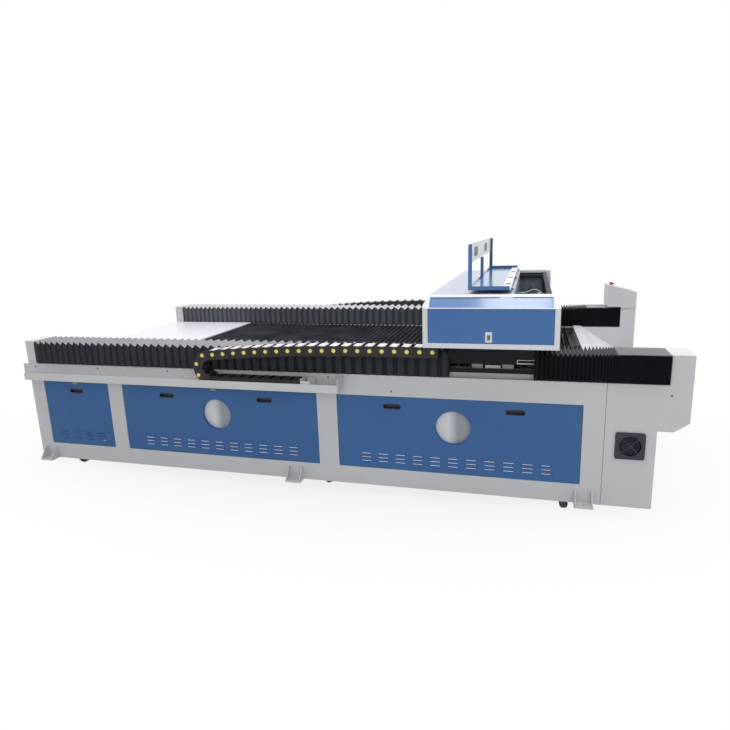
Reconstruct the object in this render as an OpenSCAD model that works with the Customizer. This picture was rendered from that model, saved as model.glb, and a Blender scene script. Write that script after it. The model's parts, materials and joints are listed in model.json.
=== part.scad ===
// Flatbed gantry laser cutting machine: a long welded body with a slatted cutting bed, two bellows-covered
// side rails, and a gantry that carries the laser tube and the cutting head over the bed.
// X runs along the body, Y runs from the near long side to the far one, Z is up from the floor.

/* [Body] */
// Length of the body, from its left end to the cabinets' right-hand faces
body_len = 4014; // [3500:1:5000]
// Depth of the body over both side beams
body_dep = 1984; // [1600:1:2600]
// Height of the body, from its underside to the top of the side beams
body_h = 690; // [600:1:900]
// Gap between the floor and the body's underside
ground = 62; // [56:1:70]
// Width of each side beam
beam_w = 183; // [170:1:220]
// Depth of the posts and rails behind the body's face
member_d = 60; // [40:1:80]
// Height of the sill under the side panels
sill_h = 110; // [80:1:140]
// Height of the side beam above the side panels
header_h = 125; // [100:1:160]
// Width of the post at the body's left end
end_post_w = 104; // [60:1:140]
// Width of the post between the first and second panels
post_1_w = 111; // [60:1:140]
// Width of the post between the second and third panels
post_2_w = 127; // [60:1:140]
// Width of the post between the third panel and the cabinet
post_3_w = 111; // [60:1:140]
// Wall of the body's folded steel
wall = 3; // [2:0.5:5]

/* [Side panels] */
// Width of the opening for the short left panel
short_panel_w = 531; // [400:1:650]
// Clearance round a panel in its opening
panel_gap = 2; // [1:0.5:4]
// Depth of a panel's folded edge
panel_fold = 22; // [15:1:30]
// Diameter of the duct port in a long panel
port_d = 200; // [120:1:240]
// Length of the duct port's collar
port_len = 24; // [15:1:40]
// Width of one louvre
louvre_w = 60; // [40:1:80]
// Distance from one louvre column to the next
louvre_pitch = 104; // [90:1:130]
// Length of a flush pull handle
handle_l = 108; // [80:1:130]
// Height of a flush pull handle
handle_h = 32; // [24:1:40]

/* [Cabinets] */
// Width of each control cabinet at the right end
cabinet_w = 254; // [220:1:340]
// Overhang of the cabinets' upper part past the body
overhang = 149; // [130:1:200]
// Height of the overhanging part's underside above the body's underside
overhang_z = 440; // [380:1:480]
// Side of the square fan grille
fan_side = 148; // [110:1:160]
// Height of the console above the side beam
console_h = 337; // [260:1:380]
// Slope of the console's top, in degrees
console_tilt = 15; // [5:1:25]
// Diameter of the emergency stop button
estop_d = 40; // [30:1:50]

/* [Rails and bellows] */
// How far the bellows stand out from the body's face
bellows_out = 15; // [8:1:17]
// Height of the bellows
bellows_h = 147; // [140:1:180]
// Pleats in each bellows
pleats = 68; // [30:1:90]
// Depth of a stretched pleat
pleat_d = 25; // [10:1:30]
// Length of the end block that closes the bellows' left end
end_block_l = 75; // [60:1:100]
// Width of the guide rail
rail_w = 20; // [15:1:30]
// Radius of the belt pulleys
pulley_r = 19; // [15:1:22]
// Thickness of the drive belt
belt_t = 3; // [2:0.5:4]
// Width of the drive belt
belt_w = 25; // [15:1:30]

/* [Gantry] */
// Place of the gantry's middle along the body
gantry_x = 3162; // [2900:1:3200]
// Length of each carriage along the rails
carriage_l = 460; // [400:1:520]
// Width of the gantry housing along the body
housing_w = 690; // [640:1:760]
// Height of the gantry housing
housing_h = 276; // [260:1:320]
// How far the gantry housing's near end stands out from the body
housing_out = 165; // [140:1:200]
// Length of the high part of the gantry housing
housing_l = 1805; // [1500:1:2000]
// Width of the gantry beam
gantry_beam_w = 120; // [100:1:140]
// Height of the gantry beam
gantry_beam_h = 140; // [120:1:160]
// Diameter of the laser tube
tube_d = 80; // [55:1:90]
// Length of the laser tube
tube_l = 1450; // [1000:1:1500]
// Width of the tube cover's flat panel
cover_w = 223; // [180:1:226]
// Height of the tube cover's side panel
cover_h = 242; // [200:1:250]
// Depth of the tube cover's folded ends
cover_fold = 20; // [12:1:24]

/* [Cutting head] */
// Distance of the head's axis from the near face of the body
head_y = 420; // [300:1:1600]
// Diameter of the lens tube
lens_tube_d = 32; // [24:1:40]

/* [Bed] */
// Width of the plain plate at the bed's left end
plate_l = 790; // [400:1:1000]
// Distance from one slat to the next
slat_pitch = 40; // [30:1:60]
// Height of a slat
slat_h = 60; // [40:1:80]
// Angle of the chute at the bed's right end, in degrees
chute_angle = 33; // [20:1:40]

/* [Drag chains] */
// Length of one chain link
link_pitch = 70; // [60:1:72]
// Height of the chain
chain_h = 62; // [50:1:66]
// Width of the chain
chain_w = 91; // [70:1:92]
// Radius of the chain's bend, to the middle of the link
chain_r = 75; // [65:1:80]
// Place of the middle of the chain's bend along the body
bend_x = 1485; // [1300:1:1500]
// Links in the upper run
upper_links = 20; // [18:1:20]
// Length of the chain tray
tray_l = 2310; // [2250:1:2400]
// How far the tray's back wall passes the body's left end
tray_over = 42; // [20:1:60]

/* [Casters] */
// Diameter of a caster wheel
wheel_d = 100; // [90:1:104]
// Width of a caster wheel
wheel_w = 32; // [24:1:36]
// Distance from the swivel axis to the wheel's axle
trail = 35; // [25:1:40]
// Room between a turning wheel and the body's face
wheel_room = 11; // [9:1:30]

/* [Hidden] */
$fn = 48;

// Colours
GREY = [0.70, 0.71, 0.72];
BLUE = [0.24, 0.41, 0.64];
BLACK = [0.11, 0.12, 0.13];
STEEL = [0.62, 0.63, 0.65];
WHITE = [0.88, 0.89, 0.91];
RED = [0.75, 0.10, 0.10];
YELLOW = [0.85, 0.72, 0.15];
GLASS = [0.85, 0.88, 0.90, 0.5];

// Clearances
fit = 0.3;          // between a soft or sliding piece and its neighbour
seat_gap = 0.02;     // between a flat seat and a tilted piece that lies on it
weld = 0.05;        // line between two members that are welded together
run = 0.05;         // radial running clearance of a shaft in its bore

// Levels, from the floor
z_under = ground;
z_top = ground + body_h;
z_sill = z_under + sill_h;
z_header = z_top - header_h;
z_bed = z_top + 10;
skirt_gap = 12;
z_bellows = z_top + skirt_gap;
z_peak = z_bellows + bellows_h;
deck_gap = 43;      // from the bellows' peaks to the top of the gantry's carriages
z_deck = z_peak + deck_gap;

// Places along the body
x_seam = body_len - cabinet_w;
x_right = body_len + overhang;
long_panel_w = (x_seam - end_post_w - short_panel_w - post_1_w - post_2_w - post_3_w) / 2;
x_panel_1 = end_post_w;
x_panel_2 = x_panel_1 + short_panel_w + post_1_w;
x_panel_3 = x_panel_2 + long_panel_w + post_2_w;
x_bellows_end = x_right - 109;
x_bed_0 = 20;
x_slats_0 = x_bed_0 + plate_l;
x_slats_1 = x_seam - 60;

// Shift that puts the origin under the middle of the whole machine
x_min = -tray_over;
origin = [-(x_min + x_right) / 2, -body_dep / 2, 0];
module place() { translate(origin) children(); }
// Repeats a near-side piece on the far side, mirrored
module both() {
    children();
    translate([0, body_dep, 0]) mirror([0, 1, 0]) children();
}
// Puts a near-side piece on the far side only, mirrored
module far_side() { translate([0, body_dep, 0]) mirror([0, 1, 0]) children(); }
module box(lo, hi) { translate(lo) cube(hi - lo); }
// Flat rectangle with round corners, centred
module rounded(w, h, r) {
    corners = [[1, 1], [-1, 1], [-1, -1], [1, -1]];
    polygon([for (i = [0 : 3], a = [0 : 15 : 90])
        [corners[i][0]*(w/2 - r) + r*cos(90*i + a), corners[i][1]*(h/2 - r) + r*sin(90*i + a)]]);
}

// ---------------------------------------------------------------- body
plate_t = 5;
bracket_w = 100;
bracket_out = 70;
bracket_rib = 6;
bracket_rib_gap = 86;
bracket_base_t = 10;
bracket_rib_h = 70;
anchor_d = 18;
anchor_out = 42;
bracket_xs = [91, 1971, x_seam - 90];
caster_xs = [299, 2170, x_seam - 195];
caster_in = trail + wheel_d/2 + wheel_room;
caster_seat_w = 120;
caster_seat_z = wheel_d + 32;
cross_w = 60;
cross_top_z = z_bed - slat_h - cross_w;
cross_xs = [120, x_slats_0, 1971, 2950, x_seam - 100];

module anchor_bracket(x) {
    difference() {
        union() {
            box([x - bracket_w/2, -bracket_out, z_under], [x + bracket_w/2, -weld, z_under + bracket_base_t]);
            for (s = [-1, 1])
                translate([x + s*bracket_rib_gap/2 - bracket_rib/2, 0, z_under + bracket_base_t])
                    rotate([90, 0, 90]) linear_extrude(bracket_rib)
                        polygon([[-weld, 0], [-weld, bracket_rib_h], [-18, bracket_rib_h],
                                 [-bracket_out, 4], [-bracket_out, 0]]);
        }
        translate([x, -anchor_out, z_under - 1]) cylinder(d = anchor_d, h = bracket_base_t + 2);
    }
}

// One side of the welded body: sill, posts, hollow side beam and left end block
module side_frame() {
    x_sill_0 = end_post_w + weld;
    x_sill_1 = x_seam - post_3_w - weld;
    // sill: a face plate with an inward shelf that the panels stand on
    box([x_sill_0, 0, z_under], [x_sill_1, plate_t, z_sill]);
    box([x_sill_0, 0, z_sill - plate_t], [x_sill_1, member_d, z_sill]);
    // posts
    box([0, 0, z_under], [end_post_w, member_d, z_header - weld]);
    for (p = [[x_panel_2, post_1_w], [x_panel_3, post_2_w]])
        box([p[0] - p[1], 0, z_sill + weld], [p[0], member_d, z_header - weld]);
    box([x_seam - post_3_w, 0, z_under], [x_seam, member_d, z_header - weld]);
    // side beam, hollow
    difference() {
        box([0, 0, z_header], [x_seam, beam_w, z_top]);
        box([plate_t, plate_t, z_header + plate_t], [x_seam - plate_t, beam_w - plate_t, z_top - 2*plate_t]);
    }
    // inner legs under the beam
    for (x = [wall + weld, x_seam - member_d])
        box([x, beam_w - member_d, z_sill + weld], [x + member_d - wall, beam_w, z_header - weld]);
    box([caster_xs[1] - member_d/2, beam_w - member_d, z_sill - plate_t],
        [caster_xs[1] + member_d/2, beam_w, z_header - weld]);
    end_block();
    for (x = bracket_xs) anchor_bracket(x);
}
// Cut through a wall that starts at x, for both strands of the drive belt
module belt_window(x) {
    box([x - 1, belt_y - belt_w/2 - belt_room, z_pulley - flange_r - belt_room/2],
        [x + wall + 1, belt_y + belt_w/2 + belt_room, z_pulley + flange_r + belt_room/2]);
}
// Folded box that closes the bellows' left end and holds the idler pulley
module end_block() difference() {
    box([0, 0, z_top + weld], [end_block_l, beam_w, z_block]);
    box([wall, wall, z_top - 1], [end_block_l - wall, beam_w - wall, z_block - wall]);
    belt_window(end_block_l - wall);
    translate([x_idler, -1, z_pulley]) rotate([-90, 0, 0]) cylinder(r = pulley_bore_r + run, h = beam_w + 2);
}

module base_frame() color(GREY) place() {
    both() side_frame();
    // cross members that tie the two sides, carry the casters and stand under the inner legs
    for (x = caster_xs)
        box([x - caster_seat_w/2, plate_t + weld, caster_seat_z],
            [x + caster_seat_w/2, body_dep - plate_t - weld, z_sill - plate_t - weld]);
    box([x_seam - member_d, member_d + weld, z_under], [x_seam, body_dep - member_d - weld, z_sill]);
    // cross members under the bed
    for (x = cross_xs)
        box([x - cross_w/2, beam_w + weld, cross_top_z],
            [x + cross_w/2, body_dep - beam_w - weld, z_bed - slat_h]);
    // left end: sill, plate and the header that the table plate lies on
    box([0, member_d + weld, z_under], [member_d, body_dep - member_d - weld, z_sill]);
    box([0, member_d + weld, z_sill + weld], [wall, body_dep - member_d - weld, z_header - weld]);
    box([0, beam_w + weld, z_header], [x_bed_0 + 40, body_dep - beam_w - weld, z_bed - wall]);
    // right-hand end bar of the bed, which the chute hangs from
    box([x_slats_1, beam_w + weld, cross_top_z], [x_seam, body_dep - beam_w - weld, z_bed]);
}

// ---------------------------------------------------------------- side panels
louvre_rows = 3;
louvre_row_pitch = 24;
louvre_z = z_under + 157;
louvre_slot = 3;
louvre_out = 6;
short_margin = 75;
long_margin = 130;
sheet = 2;
set_back = 4;
louvre_inset = 2;
handle_z = z_under + 502;
handle_rim = 2;
handle_flange = 4;
cup_depth = 20;
cup_wall = 1.5;
port_z = z_under + 390;
long_handles = [-356, 344];
port_cap_lap = 6;
port_cap_t = 1.5;

// A folded tray that stands on the sill, with louvres, pull-handle cut-outs and an optional duct port
module panel(x, w, port, margin, handles) {
    lo = x + panel_gap;
    hi = x + w - panel_gap;
    z1 = z_header - panel_gap;
    mid = x + w/2;
    columns = floor((w - 2*margin - louvre_w)/louvre_pitch) + 1;
    x_first = mid - ((columns - 1) * louvre_pitch + louvre_w)/2;
    difference() {
        union() {
            difference() {
                box([lo, set_back, z_sill], [hi, set_back + panel_fold, z1]);
                box([lo + sheet, set_back + sheet, z_sill + sheet],
                    [hi - sheet, set_back + panel_fold + 1, z1 - sheet]);
            }
            if (port) translate([mid, set_back, port_z]) rotate([-90, 0, 0])
                cylinder(d = port_d + 2*sheet, h = port_len, $fn = 64);
            for (c = [0 : columns - 1], r = [0 : louvre_rows - 1])
                translate([x_first + c*louvre_pitch, set_back, louvre_z + r*louvre_row_pitch])
                    rotate([90, 0, 90]) linear_extrude(louvre_w)
                        polygon([[0.01, -louvre_inset], [0.01, 2*louvre_out],
                                 [-louvre_out, louvre_out/2], [-louvre_out, louvre_out/4]]);
        }
        if (port) translate([mid, set_back - 1, port_z]) rotate([-90, 0, 0])
            cylinder(d = port_d, h = port_len + 2, $fn = 64);
        for (c = [0 : columns - 1], r = [0 : louvre_rows - 1])
            translate([x_first + c*louvre_pitch, set_back, louvre_z + r*louvre_row_pitch - louvre_inset])
                box([louvre_inset, -1, -louvre_slot], [louvre_w - louvre_inset, sheet + 1, 0]);
        for (h = handles) handle_cut(mid + h);
    }
}
module handle_cut(x) {
    box([x - handle_l/2 + handle_flange, 0, handle_z - handle_h/2 + handle_flange],
        [x + handle_l/2 - handle_flange, set_back + sheet + 1, handle_z + handle_h/2 - handle_flange]);
}
// A flush pull: a rim on the panel's face round a finger cup behind it
module handle(x) {
    half_l = handle_l/2 - handle_flange - 0.5;
    half_h = handle_h/2 - handle_flange - 0.5;
    translate([x, set_back, handle_z]) difference() {
        union() {
            rotate([90, 0, 0]) linear_extrude(handle_rim) rounded(handle_l, handle_h, handle_h/2);
            box([-half_l, 0, -half_h], [half_l, cup_depth, half_h]);
        }
        box([-half_l + cup_wall, -handle_rim - 1, -half_h + cup_wall],
            [half_l - cup_wall, cup_depth - cup_wall, half_h - cup_wall]);
    }
}
module short_panel() panel(x_panel_1, short_panel_w, false, short_margin, [0]);
module long_panel(x, port) panel(x, long_panel_w, port, long_margin, long_handles);
module near_panels() color(BLUE) place() {
    short_panel();
    long_panel(x_panel_2, true);
    long_panel(x_panel_3, true);
}
module far_panels() color(BLUE) place() far_side() {
    short_panel();
    long_panel(x_panel_2, false);
    long_panel(x_panel_3, false);
}
// Galvanised disc that closes a port behind its collar
module port_caps() color(STEEL) place()
    for (x = [x_panel_2, x_panel_3])
        translate([x + long_panel_w/2, set_back + port_len, port_z]) rotate([-90, 0, 0])
            cylinder(d = port_d + 2*sheet + port_cap_lap, h = port_cap_t, $fn = 64);
module panel_handles() color(BLACK) place() both() {
    handle(x_panel_1 + short_panel_w/2);
    for (x = [x_panel_2, x_panel_3], h = long_handles) handle(x + long_panel_w/2 + h);
}

// ---------------------------------------------------------------- cabinets
chamfer_x = 72;
chamfer_z = 52;
fan_x = x_seam + 128;
fan_z = z_under + 352;
fan_hole_d = 112;
z_block = z_peak - 3;

// Side outline of a cabinet: a narrow foot under an overhanging box with one corner cut off
module cabinet_outline(t) {
    polygon([[x_seam + t, z_under + t], [body_len - t, z_under + t], [body_len - t, z_under + overhang_z + t],
             [x_right - chamfer_x - 0.4*t, z_under + overhang_z + t],
             [x_right - t, z_under + overhang_z + chamfer_z + 0.4*t],
             [x_right - t, z_block - t], [x_bellows_end + t, z_block - t],
             [x_bellows_end + t, z_top - t], [x_seam + t, z_top - t]]);
}
module cabinet_shell() {
    difference() {
        translate([0, beam_w, 0]) rotate([90, 0, 0]) linear_extrude(beam_w) cabinet_outline(0);
        translate([0, beam_w - wall, 0]) rotate([90, 0, 0])
            linear_extrude(beam_w - 2*wall) cabinet_outline(wall);
        // way in for the drive belt
        belt_window(x_bellows_end);
    }
}
module near_cabinet() color(GREY) place() difference() {
    cabinet_shell();
    translate([fan_x, -1, fan_z]) rotate([-90, 0, 0]) cylinder(d = fan_hole_d, h = wall + 2);
}

fan_frame_t = 9;
fan_corner_r = 12;
fan_body = 120;
fan_depth = 32;
fan_hub_d = 42;
fan_hub_l = 22;
fan_shaft_d = 8;
fan_boss_d = 24;
fan_arm = 6;
fan_wire = 3;
fan_blades = 7;
blade_t = 2;
blade_w = 22;
blade_angle = 35;
guard_d = fan_hole_d - 4;
guard_rings = 5;
guard_step = guard_d/2/(guard_rings + 0.5);
module fan_grille() color(BLACK) place() translate([fan_x, 0, fan_z]) {
    // frame with a guard of rings and four spokes across its front
    difference() {
        rotate([90, 0, 0]) linear_extrude(fan_frame_t) rounded(fan_side, fan_side, fan_corner_r);
        translate([0, -fan_frame_t + fan_wire, 0]) rotate([-90, 0, 0]) cylinder(d = guard_d, h = fan_frame_t);
        for (i = [0 : guard_rings]) difference() {
            translate([0, -fan_frame_t - 1, 0]) rotate([-90, 0, 0])
                cylinder(r = (i + 0.5)*guard_step - (i < guard_rings ? fan_wire/2 : 0), h = fan_wire + 2);
            if (i > 0) translate([0, -fan_frame_t - 2, 0]) rotate([-90, 0, 0])
                cylinder(r = (i - 0.5)*guard_step + fan_wire/2, h = fan_wire + 4);
            for (a = [45, 135]) rotate([0, a, 0])
                box([-guard_d, -fan_frame_t - 2, -2], [guard_d, -fan_frame_t + fan_wire + 2, 2]);
        }
    }
    // fan body behind the cabinet's face, with three arms that hold the rotor's bearing
    difference() {
        box([-fan_body/2, wall, -fan_body/2], [fan_body/2, wall + fan_depth, fan_body/2]);
        translate([0, wall - 1, 0]) rotate([-90, 0, 0]) cylinder(d = fan_hole_d, h = fan_depth + 2);
    }
    y_arm = wall + fan_depth - fan_arm;
    for (a = [0 : 120 : 359]) rotate([0, a, 0])
        box([fan_arm, y_arm, -fan_arm/2], [fan_hole_d/2 + 1, y_arm + fan_arm, fan_arm/2]);
    difference() {
        translate([0, y_arm, 0]) rotate([-90, 0, 0]) cylinder(d = fan_boss_d, h = fan_arm);
        translate([0, y_arm - 1, 0]) rotate([-90, 0, 0]) cylinder(d = fan_shaft_d, h = fan_arm + 2);
    }
}
module fan_rotor() color(BLACK) place() translate([fan_x, wall + 3, fan_z]) {
    rotate([-90, 0, 0]) cylinder(d = fan_hub_d, h = fan_hub_l);
    rotate([-90, 0, 0]) cylinder(d = fan_shaft_d - 2*run, h = fan_depth - 3);
    for (a = [0 : 360/fan_blades : 359]) rotate([0, a, 0])
        translate([fan_hub_d/2 - 3, fan_hub_l/2 - 1, 0]) rotate([blade_angle, 0, 0])
            box([0, -blade_t/2, -blade_w/2], [fan_hole_d/2 - 4 - fan_hub_d/2, blade_t/2, blade_w/2]);
}
supply_h = 190;
supply_slots = 6;
module power_supply() color(STEEL) place() {
    y = wall + 40;
    box([x_seam + wall, y, z_under + wall], [body_len - 24, beam_w - 30, z_under + supply_h]);
    // cooling fins on its face
    for (i = [0 : supply_slots - 1])
        translate([x_seam + 30 + 34*i, y, z_under + supply_h/2]) box([0, -4, -45], [16, 0, 45]);
}

console_x = x_bellows_end - 109;
console_z = z_peak + 4;
console_cut = 12;
console_z1 = z_top + console_h;
console_len = x_right - console_x;
console_side = 5;
console_drop = console_len * tan(console_tilt);
module console_outline(t) {
    polygon([[console_x + t, console_z + console_cut + 0.4*t],
             [console_x + console_cut + 0.4*t, console_z + t], [x_bellows_end + t, console_z + t],
             [x_bellows_end + t, z_block - 1], [x_right - t, z_block - 1],
             [x_right - t, console_z1 - console_drop - 1.2*t], [console_x + t, console_z1 - 1.2*t]]);
}
module far_cabinet() color(GREY) place() {
    difference() {
        union() {
            far_side() cabinet_shell();
            translate([0, body_dep + console_side, 0]) rotate([90, 0, 0])
                linear_extrude(beam_w + 2*console_side) console_outline(0);
        }
        translate([0, body_dep + console_side - wall, 0]) rotate([90, 0, 0])
            linear_extrude(beam_w + 2*console_side - 2*wall) console_outline(wall);
        console_top() {
            translate([estop_along, 0, -10]) cylinder(d = estop_stem_d + 2, h = 20);
            box([panel_along, -panel_wide/2 + panel_lap, -10],
                [panel_along + panel_deep, panel_wide/2 - panel_lap, 10]);
        }
    }
}
// Frame on the console's sloping top: X down the slope, Z out of it
module console_top() {
    translate([console_x, body_dep - beam_w/2, console_z1]) rotate([0, console_tilt, 0]) children();
}
estop_along = 38;
estop_stem_d = 22;
estop_travel = 6;
panel_along = 88;
panel_deep = 110;
panel_wide = 160;
panel_lap = 12;
panel_t = 2;
key_h = 1.5;
key_size = [11, 12, key_h];
side_key_size = [10, 14, key_h];
// Face plate with a box behind it, a display window and raised keys
module control_panel() color(BLACK) place() console_top() translate([panel_along, 0, 0]) {
    box([-8, -panel_wide/2, seat_gap], [panel_deep + 8, panel_wide/2, panel_t]);
    box([1, -panel_wide/2 + panel_lap + 1, -9], [panel_deep - 1, panel_wide/2 - panel_lap - 1, 1]);
    box([2, -62, panel_t], [58, 26, panel_t + 1]);
    for (i = [0 : 2], j = [0 : 3]) translate([64 + 15*i, -60 + 16*j, panel_t]) cube(key_size);
    for (i = [0 : 3]) translate([6 + 14*i, 40, panel_t]) cube(side_key_size);
}
collar_d = 46;
collar_t = 3;
stem_room = 4;
module estop_collar() color(YELLOW) place() console_top() translate([estop_along, 0, 0]) difference() {
    union() {
        cylinder(d = collar_d, h = collar_t);
        translate([0, 0, -12]) cylinder(d = estop_stem_d + 1, h = 12);
    }
    translate([0, 0, -13]) cylinder(d = estop_stem_d - stem_room, h = 20);
}
module estop_button() color(RED) place() console_top() translate([estop_along, 0, 0]) {
    translate([0, 0, -11]) cylinder(d = estop_stem_d - stem_room - 2*run, h = 24);
    r = estop_d/2;
    translate([0, 0, collar_t + estop_travel + 1]) rotate_extrude()
        polygon([[0, 0], [r - 3, 0], [r, 3], [r, 7], [r - 2, 10], [r - 8, 13], [0, 14]]);
}

// ---------------------------------------------------------------- rails, belts and bellows
rail_y = 62;
pad_w = 60;
z_pad = z_top + 33;
rail_h = 18;
z_rail = z_pad + rail_h;
belt_y = 122;
z_pulley = z_top + 97;
x_idler = end_block_l/2;
x_drive = x_right - 54;
pulley_bore_r = 6;
flange_r = pulley_r + belt_t + 3;
belt_room = 6;

// Bar bolted along the side beam, machined flat for the guide rail
module rail_pads() color(BLACK) place() both()
    box([end_block_l + weld, rail_y - pad_w/2, z_top], [x_bellows_end - weld, rail_y + pad_w/2, z_pad]);
rail_bolt_pitch = 240;
rail_bolt_d = 9.5;
rail_groove = 3;
// Guide rail with a groove in each flank and counterbores for its bolts
module guide_rails() color(STEEL) place() both()
    difference() {
        translate([end_block_l + fit, rail_y, z_pad]) rotate([90, 0, 90])
            linear_extrude(x_bellows_end - end_block_l - 2*fit) rail_section();
        for (x = [end_block_l + 60 : rail_bolt_pitch : x_bellows_end - 40])
            translate([x, rail_y, z_rail - 5]) cylinder(d = rail_bolt_d, h = 6, $fn = 24);
    }
module rail_section() {
    w = rail_w/2;
    polygon([[-w, 0], [w, 0], [w, rail_h/3], [w - rail_groove, rail_h/2], [w, rail_h*0.72], [w, rail_h],
             [-w, rail_h], [-w, rail_h*0.72], [-w + rail_groove, rail_h/2], [-w, rail_h/3]]);
}
// A closed belt round the two pulleys
module drive_belts() color(BLACK) place() both()
    translate([0, belt_y + belt_w/2, z_pulley]) rotate([90, 0, 0]) linear_extrude(belt_w) difference() {
        belt_path(pulley_r + fit + belt_t);
        belt_path(pulley_r + fit);
    }
module belt_path(r) {
    translate([x_idler, 0]) circle(r = r);
    translate([x_drive, 0]) circle(r = r);
    translate([x_idler, -r]) square([x_drive - x_idler, 2*r]);
}
module pulley(x) translate([x, belt_y, z_pulley]) rotate([90, 0, 0]) {
    cylinder(r = pulley_r, h = belt_w + 2, center = true);
    for (s = [-1, 1]) translate([0, 0, s*(belt_w/2 + 2)]) cylinder(r = flange_r, h = 2, center = true);
}
module idler_pulleys() color(STEEL) place() both() {
    pulley(x_idler);
    translate([x_idler, 1, z_pulley]) rotate([-90, 0, 0]) cylinder(r = pulley_bore_r, h = beam_w - 2);
}
motor_side = 86;
motor_l = 78;
motor_foot_t = 2;
motor_bore_l = 18;
module drive_motors() color(BLACK) place() both() translate([x_drive, wall, z_pulley]) {
    difference() {
        box([-motor_side/2, motor_foot_t, -motor_side/2],
            [motor_side/2, motor_foot_t + motor_l, motor_side/2]);
        translate([0, motor_foot_t + motor_l - motor_bore_l, 0]) rotate([-90, 0, 0])
            cylinder(r = pulley_bore_r + run, h = motor_bore_l + 1);
    }
    // foot that stands on the outer wall of the cabinet
    box([-motor_side/2, 0, -12], [motor_side/2, motor_foot_t, 12]);
}
module drive_pulleys() color(STEEL) place() both() {
    pulley(x_drive);
    translate([x_drive, wall + motor_l - 12, z_pulley]) rotate([-90, 0, 0])
        cylinder(r = pulley_bore_r, h = beam_w - 2*wall - motor_l - 19);
}

bellows_w = beam_w + bellows_out;
bellows_wall = pleat_d + 7;
// Pleated cover open underneath, from x0 to x1
module bellows(x0, x1) {
    pitch = (x1 - x0)/pleats;
    difference() {
        translate([0, beam_w, 0]) rotate([90, 0, 0]) linear_extrude(bellows_w) polygon(concat(
            [[x0, z_bellows], [x0, z_peak - pleat_d]],
            [for (i = [0 : pleats - 1], k = [0.5, 1])
                [x0 + (i + k)*pitch, k == 0.5 ? z_peak : z_peak - pleat_d]],
            [[x1, z_bellows]]));
        box([x0 - 1, bellows_wall - bellows_out, z_bellows - 1],
            [x1 + 1, beam_w - bellows_wall, z_peak - bellows_wall]);
    }
}
gx0 = gantry_x - carriage_l/2;
gx1 = gantry_x + carriage_l/2;
module left_bellows() bellows(end_block_l + fit, gx0 - fit);
module right_bellows() bellows(gx1 + fit, x_bellows_end - fit);
module near_bellows_left() color(BLACK) place() left_bellows();
module near_bellows_right() color(BLACK) place() right_bellows();
module far_bellows_left() color(BLACK) place() far_side() left_bellows();
module far_bellows_right() color(BLACK) place() far_side() right_bellows();

// ---------------------------------------------------------------- drag chains and their trays
tray_out = 116;
z_tray = z_header + 36;
tray_lip_h = 48;
tray_floor_z = z_tray + 17;
tray_back_h = 86;
tray_cut = 112;
tray_round = 20;
chain_y0 = 18;
z_lower = tray_floor_z + wall + fit + chain_h/2;
z_upper = z_lower + 2*chain_r;
arm_drop = 8.7;
chain_rise = z_deck - arm_drop - chain_h/2 - z_upper;
chain_wall = 7;
upper_l = upper_links*link_pitch;
x_chain_end = bend_x + upper_l;
lower_l = 8.5*link_pitch;
bend_step = link_pitch/chain_r*180/PI;
cap_d = 24;
cap_proud = 2;
cap_shift = 9;

module chain_tray() {
    difference() {
        union() {
            box([x_min, -wall, z_tray], [tray_l, 0, z_tray + tray_back_h]);
            box([x_min, -tray_out, tray_floor_z], [tray_l, -wall + 0.01, tray_floor_z + wall]);
            box([x_min, -tray_out, z_tray], [tray_l, -tray_out + wall, z_tray + tray_lip_h]);
            // end plate with a rounded outer corner
            translate([tray_l - wall, 0, z_tray]) rotate([90, 0, 90]) linear_extrude(wall) difference() {
                translate([-tray_out, 0]) square([tray_out, tray_back_h]);
                translate([-tray_out, tray_back_h - tray_round]) difference() {
                    square(tray_round);
                    translate([tray_round, 0]) circle(r = tray_round);
                }
            }
        }
        // the left end is cut back towards the lip
        translate([0, 0, z_tray - 1]) linear_extrude(tray_back_h + 2)
            polygon([[x_min - 1, -wall], [x_min - 1, -tray_out - 1],
                     [x_min + tray_cut, -tray_out - 1], [x_min + tray_cut, -tray_out + wall]]);
    }
}
module chain_trays() color(GREY) place() both() chain_tray();

module chain_slab(points) {
    translate([0, -chain_y0, 0]) rotate([90, 0, 0]) linear_extrude(chain_w) polygon(points);
}
// A straight or gently curved run: an outer band less the hollow that holds the hoses
function run_z(s) = z_upper + chain_rise*(1 - pow(1 - s, 3));
function band(h) = concat(
    [for (i = [0 : upper_links]) let (s = i/upper_links) [bend_x + s*upper_l, run_z(s) + h/2]],
    [for (i = [upper_links : -1 : 0]) let (s = i/upper_links) [bend_x + s*upper_l, run_z(s) - h/2]]);
// Round cap over a link's pin, proud of both of the chain's sides
module chain_cap(x, z) {
    translate([x, -chain_y0 - chain_w - cap_proud, z]) rotate([-90, 0, 0])
        cylinder(d = cap_d, h = chain_w + 2*cap_proud, $fn = 32);
}
module chain_hollow(points) {
    translate([0, -chain_y0 - chain_wall, 0]) rotate([90, 0, 0])
        linear_extrude(chain_w - 2*chain_wall) polygon(points);
}
module chain_upper() difference() {
    union() {
        chain_slab(band(chain_h));
        for (i = [0 : upper_links - 1])
            let (s = (i + 0.5)/upper_links) chain_cap(bend_x + s*upper_l + cap_shift, run_z(s));
    }
    chain_hollow(band(chain_h - 2*chain_wall));
}
module chain_lower() {
    difference() {
        union() {
            box([bend_x, -chain_y0 - chain_w, z_lower - chain_h/2],
                [bend_x + lower_l, -chain_y0, z_lower + chain_h/2]);
            for (x = [bend_x + link_pitch/2 : link_pitch : bend_x + lower_l - 1]) chain_cap(x, z_lower);
        }
        box([bend_x - 1, -chain_y0 - chain_w + chain_wall, z_lower - chain_h/2 + chain_wall],
            [bend_x + lower_l + 1, -chain_y0 - chain_wall, z_lower + chain_h/2 - chain_wall]);
    }
}
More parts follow.
